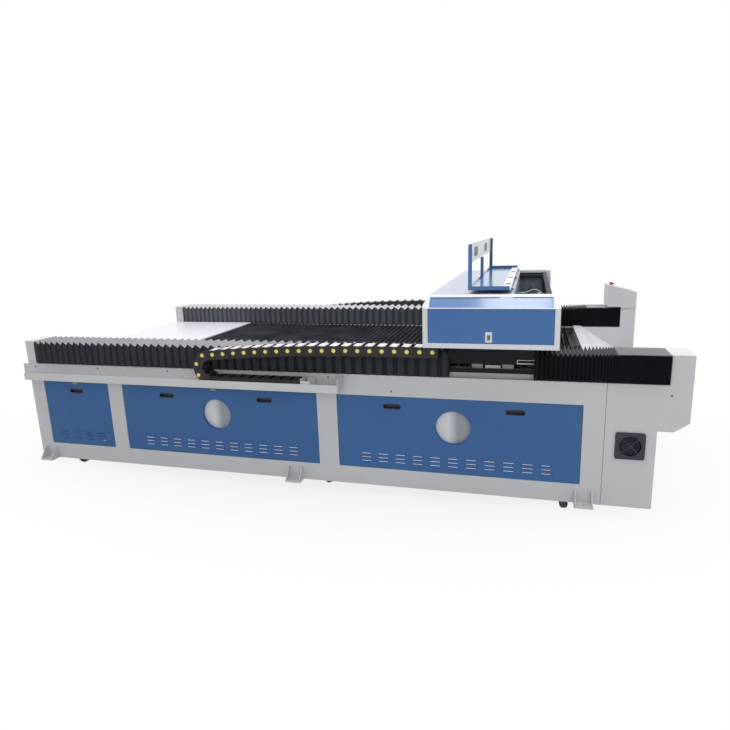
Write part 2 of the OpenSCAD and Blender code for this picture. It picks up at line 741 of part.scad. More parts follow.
module half_ring(r_out, r_in, w) {
    rotate([90, 0, 0]) linear_extrude(w) difference() {
        circle(r = r_out, $fn = 96);
        circle(r = r_in, $fn = 96);
        translate([0, -r_out - 1]) square([r_out + 1, 2*r_out + 2]);
    }
}
module chain_bend() translate([bend_x - fit, -chain_y0, (z_lower + z_upper)/2]) {
    difference() {
        half_ring(chain_r + chain_h/2, chain_r - chain_h/2, chain_w);
        translate([0, -chain_wall, 0])
            half_ring(chain_r + chain_h/2 - chain_wall, chain_r - chain_h/2 + chain_wall,
                      chain_w - 2*chain_wall);
    }
    for (a = [bend_step/3 : bend_step : 170])
        rotate([0, -a, 0]) translate([0, chain_y0, 0]) chain_cap(0, chain_r);
}
module chain_lower_runs() color(BLACK) place() both() chain_lower();
module chain_bends() color(BLACK) place() both() chain_bend();
module chain_upper_runs() color(BLACK) place() both() chain_upper();
// Bolted bracket that holds the end of the lower run to the tray floor
module chain_brackets() color(STEEL) place() both() {
    t = 4;
    translate([bend_x + lower_l + fit, -chain_y0, tray_floor_z + wall]) {
        box([0, -chain_w, 0], [66, 0, t]);
        for (y = [-chain_w, -t]) box([0, y, 0], [58, y + t, 44]);
        box([0, -chain_w, 0], [3, 0, chain_h - 4]);
    }
}

// ---------------------------------------------------------------- bed
slat_t = 3;
slat_foot = 14;
comb_t = 6;
bed_gap = 4;
module table_plate() color(WHITE) place() {
    y0 = beam_w + bed_gap;
    y1 = body_dep - beam_w - bed_gap;
    box([x_bed_0, y0, z_bed - wall], [x_slats_0, y1, z_bed]);
    // folded edge that stands on the cross member
    box([x_slats_0 - wall, y0, z_bed - slat_h], [x_slats_0, y1, z_bed]);
    box([x_slats_0 - 20, y0, z_bed - slat_h], [x_slats_0, y1, z_bed - slat_h + wall]);
    // stiffening bar on the first cross member
    box([cross_xs[0] - cross_w/4, y0, z_bed - slat_h], [cross_xs[0] + cross_w/4, y1, z_bed - wall]);
}
slat_n = floor((x_slats_1 - x_slats_0 - 30)/slat_pitch);
comb_ys = [beam_w + 60, body_dep/2, body_dep - beam_w - 60];
function slat_x(i) = x_slats_0 + 24 + i*slat_pitch;
module bed_slats() color(STEEL) place()
    for (i = [0 : slat_n - 1])
        difference() {
            box([slat_x(i), beam_w + 6, z_bed - slat_h], [slat_x(i) + slat_t, body_dep - beam_w - 6, z_bed]);
            for (y = comb_ys)
                box([slat_x(i) - 1, y - comb_t/2 - fit, z_bed - slat_h - 1],
                    [slat_x(i) + slat_t + 1, y + comb_t/2 + fit, z_bed - slat_h + slat_foot + fit]);
        }
// Combs: the slats stand in slots cut across their top edges
module slat_combs() color(STEEL) place() for (y = comb_ys) difference() {
    box([x_slats_0 + 1, y - comb_t/2, z_bed - slat_h], [x_slats_1 - 1, y + comb_t/2, z_bed - 8]);
    for (i = [0 : slat_n - 1])
        box([slat_x(i) - fit, y - comb_t/2 - 1, z_bed - slat_h + slat_foot],
            [slat_x(i) + slat_t + fit, y + comb_t/2 + 1, z_bed]);
}
chute_l = (body_len - x_seam)/cos(chute_angle);
chute_w = body_dep - 2*beam_w - 2*bed_gap;
chute_lip = 10;
module chute() color(WHITE) place() {
    translate([x_seam + 0.5, beam_w + bed_gap, z_bed - 12]) rotate([0, chute_angle, 0]) {
        box([0, 0, 0], [chute_l, chute_w, wall]);
        for (y = [0, chute_w - wall]) box([0, y, 0], [chute_l, y + wall, chute_lip]);
    }
    // hanging flange screwed to the end bar
    box([x_seam, beam_w + bed_gap, z_bed - slat_h], [x_seam + wall, beam_w + bed_gap + chute_w, z_bed - 6]);
}
hopper_slope_w = 330;
hopper_lift = 60;
// Tray with sloping sides that catches what falls through the slats
module hopper() color(STEEL) place() {
    z1 = cross_top_z;
    z0 = z_sill + hopper_lift;
    y0 = beam_w + 1;
    y1 = body_dep - beam_w - 1;
    y2 = y0 + hopper_slope_w;
    y3 = y1 - hopper_slope_w;
    translate([member_d + 40, 0, 0]) rotate([90, 0, 90]) linear_extrude(x_slats_1 - member_d - 80)
        polygon([[y0, z1], [y2, z0], [y3, z0], [y1, z1], [y1 - 2*wall, z1],
                 [y3 - wall, z0 + wall], [y2 + wall, z0 + wall], [y0 + 2*wall, z1]]);
}

// ---------------------------------------------------------------- gantry
z_house = z_deck;              // the housing stands on the carriages
z_roof = z_house + housing_h;
hx0 = gantry_x - housing_w/2;
hx1 = gantry_x + housing_w/2;
hy0 = -housing_out;
hy1 = hy0 + housing_l;
bevel_y = 60;
bevel_z = 66;
side_cham_x = 30;
side_cham_z = 48;
trim = 26;
z_block0 = z_pad + 6;
block_h = 40;
block_l = 60;
block_w = 44;
block_run = 0.4;               // room between a bearing block and its rail, filled by its rollers
block_xs = [gantry_x - 106, gantry_x + 60];
z_carr = z_block0 + block_h;
beam_x0 = gantry_x - 170;
beam_x1 = beam_x0 + gantry_beam_w;
hinge_x = gantry_x + 107;
hinge_z = z_roof + 12;
bay_y0 = hy0 + bevel_y + 6;
bay_y1 = bay_y0 + 1660;
bay_x0 = hinge_x + 9;
bay_z = z_roof - cover_h;
saddle_w = 40;
saddle_h = 20;
saddle_in = 240;
hinge_seat_l = 60;
post_t = 25;
flange_w = 24;
rail_x1 = hinge_x + cover_w - cover_fold - 2;
bay_rail_z = z_roof - 18;

module bearing_blocks() color(STEEL) place() both()
    for (x = block_xs)
        difference() {
            box([x, rail_y - block_w/2, z_block0], [x + block_l, rail_y + block_w/2, z_carr]);
            box([x - 1, rail_y - rail_w/2 - block_run, z_block0 - 1],
                [x + block_l + 1, rail_y + rail_w/2 + block_run, z_rail + block_run]);
        }
carr_foot_t = 18;
carr_deck_t = 20;
carr_web_t = 8;
carr_inset = 4;
carr_foot_y = 24;
skirt_lift = 21;
clamp_l = 60;
clamp_w = 44;
clamp_room = 0.5;
clamp_over = 14;
arm_l = 60;
arm_t = 6;
// Carriage: a foot plate on the bearing blocks, webs, a wide deck with a skirt over its near edge and the
// plates that the bellows fasten to
module carriage() {
    y0 = carr_inset - bellows_out;
    y1 = beam_w - carr_inset;
    z_web = z_carr + carr_foot_t;
    z_belt = z_pulley + pulley_r + fit;
    box([gx0, carr_foot_y, z_carr], [gx1, y1, z_web]);
    box([gx0, carr_foot_y, z_web], [gx1, carr_foot_y + carr_web_t, z_deck - carr_deck_t]);
    box([gx0, y0, z_web + skirt_lift], [gx1, y0 + carr_web_t, z_deck - carr_deck_t]);
    box([gx0, y1 - carr_web_t, z_web], [gx1, y1, z_deck - carr_deck_t]);
    box([hx0 + 8, y0, z_deck - carr_deck_t], [hx1 - 8, y1, z_deck]);
    // belt clamp, with room for the belt to run through
    difference() {
        box([gantry_x - clamp_l/2, belt_y - clamp_w/2, z_web],
            [gantry_x + clamp_l/2, belt_y + clamp_w/2, z_belt + belt_t + clamp_over]);
        box([gantry_x - clamp_l/2 - 1, belt_y - belt_w/2 - clamp_room, z_belt - clamp_room],
            [gantry_x + clamp_l/2 + 1, belt_y + belt_w/2 + clamp_room, z_belt + belt_t + clamp_room]);
    }
    for (x = [gx0, gx1 - wall]) difference() {
        box([x, -bellows_out, z_bellows], [x + wall, beam_w, z_peak - 2]);
        box([x - 1, rail_y - pad_w/2 - 4, z_bellows - 1], [x + wall + 1, rail_y + pad_w/2 + 4, z_rail + 4]);
        for (z = [[z_bellows - 1, z_carr], [z_web, z_belt + belt_t + belt_room]])
            box([x - 1, belt_y - belt_w/2 - belt_room, z[0]],
                [x + wall + 1, belt_y + belt_w/2 + belt_room, z[1]]);
    }
    // arm that takes the end of the drag chain
    translate([x_chain_end + fit, -chain_y0, run_z(1) + chain_h/2]) {
        box([0, -chain_w, 4 - chain_h], [8, 0, 0]);
        box([0, -chain_w, -arm_t], [arm_l, y0 + chain_y0, 0]);
    }
}
module carriages() color(BLACK) place() both() carriage();

tube_wall = 6;
module gantry_beam() color(STEEL) place() {
    y0 = -4;
    y1 = body_dep + 4;
    difference() {
        box([beam_x0, y0, z_deck], [beam_x1, y1, z_deck + gantry_beam_h]);
        box([beam_x0 + tube_wall, y0 - 1, z_deck + tube_wall],
            [beam_x1 - tube_wall, y1 + 1, z_deck + gantry_beam_h - tube_wall]);
    }
}

// Outline of the housing across the gantry, with the top corners cut off
module house_outline(t, z0) {
    polygon([[hx0 + t, z0], [hx1 - t, z0], [hx1 - t, z_roof - side_cham_z - 0.3*t],
             [hx1 - side_cham_x - 0.6*t, z_roof - t], [hx0 + side_cham_x + 0.6*t, z_roof - t],
             [hx0 + t, z_roof - side_cham_z - 0.3*t]]);
}
// The same prism with its near top edge bevelled back
module house_solid(t, z0, y0, y1) {
    difference() {
        translate([0, y1, 0]) rotate([90, 0, 0]) linear_extrude(y1 - y0) house_outline(t, z0);
        translate([hx0 - 1, hy0 + t, 0]) rotate([90, 0, 90]) linear_extrude(housing_w + 2)
            polygon([[-5, z_roof - bevel_z - t/2], [0, z_roof - bevel_z - t/2], [bevel_y, z_roof - t/2],
                     [bevel_y, z_roof + 5], [-5, z_roof + 5]]);
    }
}
module gantry_housing() color(WHITE) place() {
    difference() {
        house_solid(0, z_house, hy0, hy1);
        house_solid(wall, z_house - 1, hy0 + wall, hy1 - wall);
        // window in the near end, left open inside a narrow frame
        box([hx0 + trim, hy0 - 1, z_house + trim], [hx1 - trim, hy0 + wall + 1, z_roof - bevel_z - 2]);
        translate([hx0 + trim + 8, hy0, z_roof - bevel_z]) rotate([atan2(bevel_z, bevel_y) - 90, 0, 0])
            translate([0, -8, 4]) cube([housing_w - 2*trim - 16, 20, norm([bevel_y, bevel_z]) - 22]);
        // bay of the laser tube
        box([bay_x0 - 1, bay_y0, bay_z], [hx1 + 1, bay_y1, z_roof + 1]);
        // the head passes under the far end plate
        box([beam_x0 - 4, hy1 - wall - 1, z_house - 1], [hx1 - wall, hy1 + 1, z_deck + gantry_beam_h]);
    }
    // bay: a folded box with a hole for the beam in its near end
    difference() {
        box([bay_x0 - wall, bay_y0 - wall, bay_z - wall],
            [hx1 - wall - weld, bay_y1 + wall, z_roof - side_cham_z]);
        box([bay_x0, bay_y0, bay_z], [hx1, bay_y1, z_roof]);
        translate([tube_x, bay_y0 - wall - 1, tube_z]) rotate([-90, 0, 0]) cylinder(d = 30, h = wall + 2);
    }
    box([bay_x0 - wall, bay_y0 - wall, z_roof - side_cham_z], [bay_x0, bay_y1 + wall, z_roof - wall - weld]);
    // corner rail and cross bars of the bay
    box([rail_x1 - post_t, bay_y0, bay_rail_z - post_t], [rail_x1, bay_y1, bay_rail_z]);
    for (y = [bay_y0, bay_y0 + tube_l - 30, bay_y1 - post_t])
        box([bay_x0 + weld, y, bay_rail_z - post_t], [rail_x1 - post_t - weld, y + post_t, bay_rail_z]);
    for (y = [bay_y0, bay_y1 - post_t])
        box([rail_x1 - post_t, y, bay_z + weld], [rail_x1, y + post_t, bay_rail_z - post_t - weld]);
    // saddles on the gantry beam and flanges on the near carriage
    for (y = [saddle_in, hy1 - saddle_in])
        translate([0, y, z_deck + gantry_beam_h])
            box([hx0 + wall + weld, -saddle_w/2, 0], [beam_x1, saddle_w/2, saddle_h]);
    for (x = [hx0 + wall + weld, hx1 - wall - weld - flange_w])
        box([x, hy0 + wall + weld, z_house], [x + flange_w, hy1 - wall - weld, z_house + wall]);
    // hinge seats
    for (y = hinge_ys) translate([hinge_x, y, 0]) difference() {
        box([-5, -hinge_seat_l/2, z_roof], [5, hinge_seat_l/2, hinge_z + 1]);
        translate([0, -hinge_seat_l/2 - 1, hinge_z]) rotate([-90, 0, 0])
            cylinder(r = hinge_pin_r + run, h = hinge_seat_l + 2);
        box([-6, -knuckle_room/2, z_roof + 1], [6, knuckle_room/2, hinge_z + 2]);
        translate([0, -knuckle_room/2, hinge_z]) rotate([-90, 0, 0])
            cylinder(r = knuckle_r + 2, h = knuckle_room);
    }
}
hinge_pin_r = 3;
knuckle_r = 7;
knuckle_l = 29;
knuckle_room = 30;
vent_ys = [bay_y0 + 409, bay_y0 + 1139];
vent_l = 200;
vent_h = 43;
window_margin = 60;
rib_w = 40;
band_h = 102;
hinge_ys = [bay_y0 + 120, bay_y0 + 830, bay_y0 + 1540];
tube_x = (hinge_x + hx1)/2;
tube_z = bay_z + 115;

module near_end_cap() color(BLUE) place() {
    t = 1.5;
    y = hy0 + wall;
    difference() {
        box([hx0 + wall, y, z_house + 4], [hx1 - wall, y + t, z_roof - bevel_z - 4]);
        translate([socket_x, y, socket_z]) box([-12, -1, -20], [12, t + 1, 20]);
    }
    slope = norm([bevel_y, bevel_z]);
    translate([hx0 + trim + 2, y, z_roof - bevel_z - 4]) rotate([atan2(bevel_z, bevel_y) - 90, 0, 0])
        cube([housing_w - 2*trim - 4, t, slope - 20]);
}
socket_x = hx0 + 342;
socket_z = z_house + 61;
// Socket whose plate lies on the end cap, flush with the housing's frame
module end_socket() color(WHITE) place() translate([socket_x, hy0 + wall, socket_z]) {
    difference() {
        box([-17, -wall, -27], [17, 0, 27]);
        box([-8, -wall - 1, -16], [8, -wall/2, 12]);
    }
    box([-11, 0, -19], [11, 14, 19]);
}
far_cover_h = 150;
module far_end_cover() color(WHITE) place() {
    y0 = hy1 + 1;
    y1 = body_dep + housing_out;
    difference() {
        box([hx0, y0, z_house], [hx1, y1, z_house + far_cover_h]);
        box([hx0 + wall, y0 - 1, z_house - 1], [hx1 - wall, y1 - wall, z_house + far_cover_h - wall]);
    }
    for (x = [hx0 + 1, hx1 - 1 - flange_w]) box([x, y0, z_house], [x + flange_w, y1 - 1, z_house + wall]);
}

// Tube cover: an L of sheet steel, lying open on its back; it swings over to close the tube bay
module tube_cover() color(BLUE) place() {
    t = 2;
    x0 = hinge_x - cover_w;
    z0 = hinge_z + 10 - t;
    z1 = hinge_z + cover_h;
    y0 = bay_y0 + 2;
    y1 = bay_y1 - 2;
    rib_y = bay_y0 + 792;
    box([x0, y0, z0], [hinge_x - 8, y1, z0 + t]);
    difference() {
        box([x0, y0, z0], [x0 + t, y1, z1]);
        for (w = [[y0 + window_margin, rib_y - rib_w/2], [rib_y + rib_w/2, y1 - window_margin]])
            box([x0 - 1, w[0], z0 + 14], [x0 + t + 1, w[1], z1 - band_h]);
        for (y = vent_ys) translate([x0 - 1, y, z1 - band_h/2]) {
            box([0, -vent_l/2, -vent_h/2], [t + 2, vent_l/2, vent_h/2]);
            for (s = [-1, 1])
                translate([0, s*vent_l/2, 0]) rotate([0, 90, 0]) cylinder(d = vent_h, h = t + 2);
        }
    }
    for (y = [y0, y1 - t]) {
        box([x0, y, z0], [hinge_x - 12, y + t, z0 + cover_fold]);
        box([x0, y, z0], [x0 + cover_fold, y + t, z1]);
    }
    // stiffener behind the rib between the windows
    box([x0, rib_y - t/2, z0], [x0 + cover_fold - 2, rib_y + t/2, z1 - band_h]);
    // knuckles and pins of the hinges
    for (y = hinge_ys) translate([hinge_x, y, 0]) {
        translate([0, -knuckle_l/2, hinge_z]) rotate([-90, 0, 0]) cylinder(r = knuckle_r, h = knuckle_l);
        box([-24, -knuckle_l/2, z0 + t - 4], [0, knuckle_l/2, z0 + t]);
        translate([0, 1 - hinge_seat_l/2, hinge_z]) rotate([-90, 0, 0])
            cylinder(r = hinge_pin_r, h = hinge_seat_l - 2);
    }
}

tube_y0 = bay_y0 + 90;
// Glass tube with a narrower neck and nozzle at each end
module laser_tube() color(GLASS) place() translate([tube_x, tube_y0, tube_z]) rotate([-90, 0, 0]) {
    translate([0, 0, 60]) cylinder(d = tube_d, h = tube_l - 120);
    translate([0, 0, 20]) cylinder(d = tube_d/2, h = tube_l - 40);
    cylinder(d = tube_d*0.3, h = tube_l);
}
support_w = 36;
support_in = 250;
module tube_supports() color(BLACK) place()
    for (y = [tube_y0 + support_in, tube_y0 + tube_l - support_in]) translate([tube_x, y - support_w/2, 0])
        difference() {
            union() {
                box([-34, 0, bay_z], [34, support_w, tube_z]);
                translate([0, 0, tube_z]) rotate([-90, 0, 0]) cylinder(d = tube_d + 14, h = support_w);
            }
            translate([0, -1, tube_z]) rotate([-90, 0, 0]) cylinder(d = tube_d + 2*run, h = support_w + 2);
        }
mirror_y = bay_y0 - 26;
mirror_x = beam_x1 + 78;
module mirror_mounts() color(STEEL) place() {
    // behind the tube's window and in line with the head
    for (m = [[tube_x, 1], [mirror_x, -1]]) {
        translate([m[0], mirror_y, tube_z]) rotate([0, 0, m[1]*45]) box([-22, -6, -24], [22, 6, 24]);
        box([m[0] - 14, mirror_y - 10, mirror_base_z], [m[0] + 14, mirror_y + 10, tube_z - 20]);
    }
    box([beam_x1, mirror_y - 12, mirror_base_z - 8], [tube_x + 30, mirror_y + 12, mirror_base_z]);
    box([beam_x1, mirror_y - 12, mirror_base_z - 8], [beam_x1 + 8, 60, mirror_base_z + 30]);
}
mirror_base_z = z_deck + 60;

// ---------------------------------------------------------------- cutting head
cross_rail_z = z_deck + 70;
cross_rail_w = 14;
cross_rail_h = 16;
module cross_rail() color(STEEL) place()
    box([beam_x1, beam_w + 20, cross_rail_z - cross_rail_h/2],
        [beam_x1 + cross_rail_w, body_dep - beam_w - 20, cross_rail_z + cross_rail_h/2]);
head_x = mirror_x;
z_clamp = z_bed + 100;
clamp_h = 50;
nozzle_gap = 8;
nozzle_top = 50;
module head_carriage() color(BLACK) place() {
    translate([beam_x1, head_y, cross_rail_z]) difference() {
        box([5, -30, -18], [24, 30, 18]);
        box([4, -31, -cross_rail_h/2 - block_run],
            [cross_rail_w + block_run, 31, cross_rail_h/2 + block_run]);
    }
    translate([beam_x1, head_y, 0]) box([24, -45, z_bed + 90], [34, 45, tube_z + 10]);
    // clamp ring that holds the lens tube
    difference() {
        box([beam_x1 + 34, head_y - 28, z_clamp], [head_x + 28, head_y + 28, z_clamp + clamp_h]);
        translate([head_x, head_y, z_clamp - 1]) cylinder(r = lens_tube_d/2 + run, h = clamp_h + 2);
    }
    // last mirror over the lens tube
    box([beam_x1 + 34, head_y - 20, tube_z - 20], [head_x - 16, head_y + 20, tube_z]);
    translate([head_x, head_y, tube_z]) rotate([-45, 0, 0]) box([-20, -22, -5], [20, 22, 5]);
}
// Lens tube: a straight barrel over a tapered nozzle
module lens_tube() color(STEEL) place() translate([head_x, head_y, z_bed]) {
    translate([0, 0, nozzle_top]) cylinder(d = lens_tube_d, h = 160);
    translate([0, 0, nozzle_gap]) cylinder(d1 = 8, d2 = lens_tube_d, h = nozzle_top - nozzle_gap);
}

// ---------------------------------------------------------------- casters
caster_yaws = [180, 140, -80, 0, 60, 120];
function caster_at(i) = [caster_xs[i % 3], i < 3 ? caster_in : body_dep - caster_in];
fork_t = 3;
fork_side = 5;
fork_top = caster_seat_z - 12;
kingpin_r = 7;
axle_r = 5;
module at_caster(i) { translate(concat(caster_at(i), [0])) rotate([0, 0, caster_yaws[i]]) children(); }
module caster_plates() color(STEEL) place() for (i = [0 : 5]) translate(concat(caster_at(i), [0])) {
    box([-48, -42, caster_seat_z - 4], [48, 42, caster_seat_z]);
    translate([0, 0, fork_top - 6]) cylinder(r = kingpin_r, h = caster_seat_z - fork_top + 2);
    translate([0, 0, fork_top - 8.5]) cylinder(r = kingpin_r + 4, h = 2.5);
    translate([0, 0, fork_top + fit]) cylinder(r = 20, h = caster_seat_z - 4 - fork_top - fit);
}
module caster_fork(i) color(STEEL) place() at_caster(i) {
    difference() {
        union() {
            translate([0, 0, fork_top - 5]) cylinder(r = 26, h = 5);
            box([0, -wheel_w/2 - fork_side - fork_t, fork_top - 5],
                [trail + 12, wheel_w/2 + fork_side + fork_t, fork_top]);
        }
        translate([0, 0, fork_top - 6]) cylinder(r = kingpin_r + run, h = 8);
    }
    for (s = [-1, 1]) translate([0, s*(wheel_w/2 + fork_side + fork_t/2), 0])
        rotate([90, 0, 0]) linear_extrude(fork_t, center = true)
            difference() {
                polygon([[-6, fork_top], [trail + 12, fork_top], [trail + 14, wheel_d/2],
                         [trail + 10, wheel_d/2 - 12], [trail - 10, wheel_d/2 - 12],
                         [trail - 14, wheel_d/2]]);
                translate([trail, wheel_d/2]) circle(r = axle_r, $fn = 24);
            }
    // axle
    translate([trail, 0, wheel_d/2]) rotate([90, 0, 0])
        cylinder(r = axle_r, h = wheel_w + 2*fork_side + 2*fork_t + 6, center = true);
}
// Wheel: a hub, a thin web and a tread with bevelled edges
module caster_wheel(i) color(BLACK) place() at_caster(i)
    translate([trail, 0, wheel_d/2]) rotate([90, 0, 0]) rotate_extrude($fn = 64) {
        r = wheel_d/2;
        w = wheel_w/2;
        polygon([[axle_r + run, -w - 3], [14, -w - 3], [14, -w + 4], [r - 14, -w + 4], [r - 12, -w],
                 [r - 4, -w], [r, -w + 4], [r, w - 4], [r - 4, w], [r - 12, w], [r - 14, w - 4], [14, w - 4],
                 [14, w + 3], [axle_r + run, w + 3]]);
    }

// ---------------------------------------------------------------- what is drawn
base_frame();
rail_pads();
near_panels();
far_panels();
port_caps();
panel_handles();
near_cabinet();
fan_grille();
fan_rotor();
power_supply();
far_cabinet();
control_panel();
estop_collar();
estop_button();
near_bellows_left();
near_bellows_right();
far_bellows_left();
far_bellows_right();
guide_rails();
drive_belts();
drive_motors();
drive_pulleys();
idler_pulleys();
chain_trays();
chain_brackets();
chain_lower_runs();
chain_bends();
chain_upper_runs();
table_plate();
bed_slats();
slat_combs();
chute();
hopper();
gantry_beam();
carriages();
bearing_blocks();
gantry_housing();
near_end_cap();
end_socket();
far_end_cover();
tube_cover();
laser_tube();
tube_supports();
mirror_mounts();
cross_rail();
head_carriage();
lens_tube();
caster_plates();
caster_fork(0);  // caster_fork_1
caster_fork(1);  // caster_fork_2
caster_fork(2);  // caster_fork_3
caster_fork(3);  // caster_fork_4
caster_fork(4);  // caster_fork_5
caster_fork(5);  // caster_fork_6
caster_wheel(0);  // caster_wheel_1
caster_wheel(1);  // caster_wheel_2
caster_wheel(2);  // caster_wheel_3
caster_wheel(3);  // caster_wheel_4
caster_wheel(4);  // caster_wheel_5
caster_wheel(5);  // caster_wheel_6
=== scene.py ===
import bpy
import json
import math
from mathutils import Matrix, Vector


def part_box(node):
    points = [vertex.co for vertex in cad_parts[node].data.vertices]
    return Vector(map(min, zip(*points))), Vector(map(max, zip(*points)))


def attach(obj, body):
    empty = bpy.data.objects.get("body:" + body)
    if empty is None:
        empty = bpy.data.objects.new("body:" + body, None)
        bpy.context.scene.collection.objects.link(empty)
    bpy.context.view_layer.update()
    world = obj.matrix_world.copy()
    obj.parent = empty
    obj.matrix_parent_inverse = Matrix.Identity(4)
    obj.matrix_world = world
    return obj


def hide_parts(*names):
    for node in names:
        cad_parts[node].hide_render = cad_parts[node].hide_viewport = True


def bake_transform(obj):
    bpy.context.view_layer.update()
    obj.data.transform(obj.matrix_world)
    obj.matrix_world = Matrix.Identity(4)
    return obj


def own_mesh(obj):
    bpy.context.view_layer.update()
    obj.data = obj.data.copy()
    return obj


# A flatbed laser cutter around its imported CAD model. Metres; X along the body, Y away, Z up.

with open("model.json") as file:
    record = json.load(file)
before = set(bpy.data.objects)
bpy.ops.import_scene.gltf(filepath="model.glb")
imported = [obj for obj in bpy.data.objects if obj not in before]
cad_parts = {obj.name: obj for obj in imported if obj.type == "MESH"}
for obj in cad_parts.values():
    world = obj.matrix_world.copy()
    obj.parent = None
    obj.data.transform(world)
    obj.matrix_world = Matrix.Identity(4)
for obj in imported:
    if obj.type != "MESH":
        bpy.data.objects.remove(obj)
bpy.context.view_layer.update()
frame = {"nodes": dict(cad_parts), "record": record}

MM = 0.001
CORNER_X, CORNER_Y = 2060.5, 992     # how far the body's near left corner lies from the frame's origin, in mm


def at(x, y, z):
    """Place in millimetres from the body's near left corner, with z from the floor."""
    return Vector((x - CORNER_X, y - CORNER_Y, z)) * MM


# ---------------------------------------------------------------- camera
def place_camera():
    """A 28 mm view from the near side, a little above the machine and turned towards its left end."""
    yaw, pitch, roll = (math.radians(a) for a in (16.2, 13.0, 2.0))
    forward = Vector((-math.sin(yaw) * math.cos(pitch), math.cos(yaw) * math.cos(pitch), -math.sin(pitch)))
    level_right = Vector((math.cos(yaw), math.sin(yaw), 0))
    level_up = level_right.cross(forward)
    right = math.cos(roll) * level_right - math.sin(roll) * level_up
    up = math.sin(roll) * level_right + math.cos(roll) * level_up
    turn = Matrix((right, up, -forward)).transposed()
    data = bpy.data.cameras.new("camera")
    data.lens = 28.45
    data.sensor_width = 36
    eye = (1.2975, -4.1301, 1.5649)
    camera = bpy.data.objects.new("camera", data)
    camera.matrix_world = Matrix.Translation(eye) @ turn.to_4x4()
    bpy.context.collection.objects.link(camera)
    bpy.context.scene.camera = camera


place_camera()


# ---------------------------------------------------------------- materials
def new_material(name):
    material = bpy.data.materials.new(name)
    material.use_nodes = True
    tree = material.node_tree
    return material, tree, tree.nodes["Principled BSDF"]


def coords(tree, scale):
    """Object coordinates stretched by scale, so a pattern has its real size on every piece."""
    source = tree.nodes.new("ShaderNodeTexCoord")
    mapping = tree.nodes.new("ShaderNodeMapping")
    mapping.inputs["Scale"].default_value = scale if isinstance(scale, tuple) else (scale, scale, scale)
    tree.links.new(source.outputs["Object"], mapping.inputs["Vector"])
    return mapping.outputs["Vector"]


def noise(tree, scale, detail=2.0):
    node = tree.nodes.new("ShaderNodeTexNoise")
    node.inputs["Scale"].default_value = 1.0
    node.inputs["Detail"].default_value = detail
    tree.links.new(coords(tree, scale), node.inputs["Vector"])
    return node.outputs["Fac"]


def ramp(tree, value, low, high, colour_low, colour_high):
    node = tree.nodes.new("ShaderNodeValToRGB")
    node.color_ramp.elements[0].position = low
    node.color_ramp.elements[1].position = high
    node.color_ramp.elements[0].color = (*colour_low, 1)
    node.color_ramp.elements[1].color = (*colour_high, 1)
    tree.links.new(value, node.inputs["Fac"])
    return node.outputs["Color"]


def span(tree, value, low=0.0, high=1.0, start=0.0, end=1.0, interpolation="LINEAR"):
    """Maps start..end to low..high."""
    node = tree.nodes.new("ShaderNodeMapRange")
    node.interpolation_type = interpolation
    for name, number in (("From Min", start), ("From Max", end), ("To Min", low), ("To Max", high)):
        node.inputs[name].default_value = number
    tree.links.new(value, node.inputs["Value"])
    return node.outputs["Result"]


def calc(tree, operation, *values):
    """Maths on sockets or plain numbers."""
    node = tree.nodes.new("ShaderNodeMath")
    node.operation = operation
    for socket, value in zip(node.inputs, values):
        if isinstance(value, (int, float)):
            socket.default_value = value
        else:
            tree.links.new(value, socket)
    return node.outputs["Value"]


def axes_of(tree, source):
    """X, Y and Z outputs of a texture coordinate."""
    coordinate = tree.nodes.new("ShaderNodeTexCoord")
    axes = tree.nodes.new("ShaderNodeSeparateXYZ")
    tree.links.new(coordinate.outputs[source], axes.inputs["Vector"])
    return axes.outputs


def mix_colours(tree, factor, first, second):
    """The colour sockets of a mix node share their names, so they go by number."""
    node = tree.nodes.new("ShaderNodeMix")
    node.data_type = "RGBA"
    for index, value in ((0, factor), (6, first), (7, second)):
        tree.links.new(value, node.inputs[index])
    return node.outputs[2]


def mix_shaders(tree, factor, first, second, target):
    node = tree.nodes.new("ShaderNodeMixShader")
    for socket, value in zip(node.inputs, (factor, first, second)):
        tree.links.new(value, socket)
    tree.links.new(node.outputs["Shader"], target.inputs["Surface"])


def seen_rays(tree):
    """1 for rays from the camera, through glass or off a gloss, and 0 for light that bounces."""
    rays = tree.nodes.new("ShaderNodeLightPath").outputs
    straight = calc(tree, "MAXIMUM", rays["Is Camera Ray"], rays["Is Transmission Ray"])
    return calc(tree, "MAXIMUM", straight, rays["Is Glossy Ray"])


def bump(tree, bsdf, height, strength, distance):
    node = tree.nodes.new("ShaderNodeBump")
    node.inputs["Strength"].default_value = strength
    node.inputs["Distance"].default_value = distance
    tree.links.new(height, node.inputs["Height"])
    tree.links.new(node.outputs["Normal"], bsdf.inputs["Normal"])


def finish_with(tree, bsdf, colour, roughness):
    tree.links.new(colour, bsdf.inputs["Base Color"])
    tree.links.new(roughness, bsdf.inputs["Roughness"])


def shade(colour, factor):
    return tuple(min(1.0, c * factor) for c in colour)


def srgb(r, g, b):
    """Screen colour to the linear values that Blender uses."""
    def linear(c):
        c /= 255
        return c / 12.92 if c <= 0.04045 else ((c + 0.055) / 1.055) ** 2.4
    return (linear(r), linear(g), linear(b))


MOTTLE, SPECKLE, PEEL = 2.2, 9.0, 420.0     # noise scales of sprayed paint, per metre
PEEL_DEPTH = 0.4 * MM
GRAIN_DEPTH = 0.3 * MM


def mottled(tree, colour, amount):
    """Paint that is broadly and faintly lighter and darker in patches."""
    return ramp(tree, noise(tree, MOTTLE, 4.0), 0.3, 0.7,
                shade(colour, 1 - amount), shade(colour, 1 + amount))


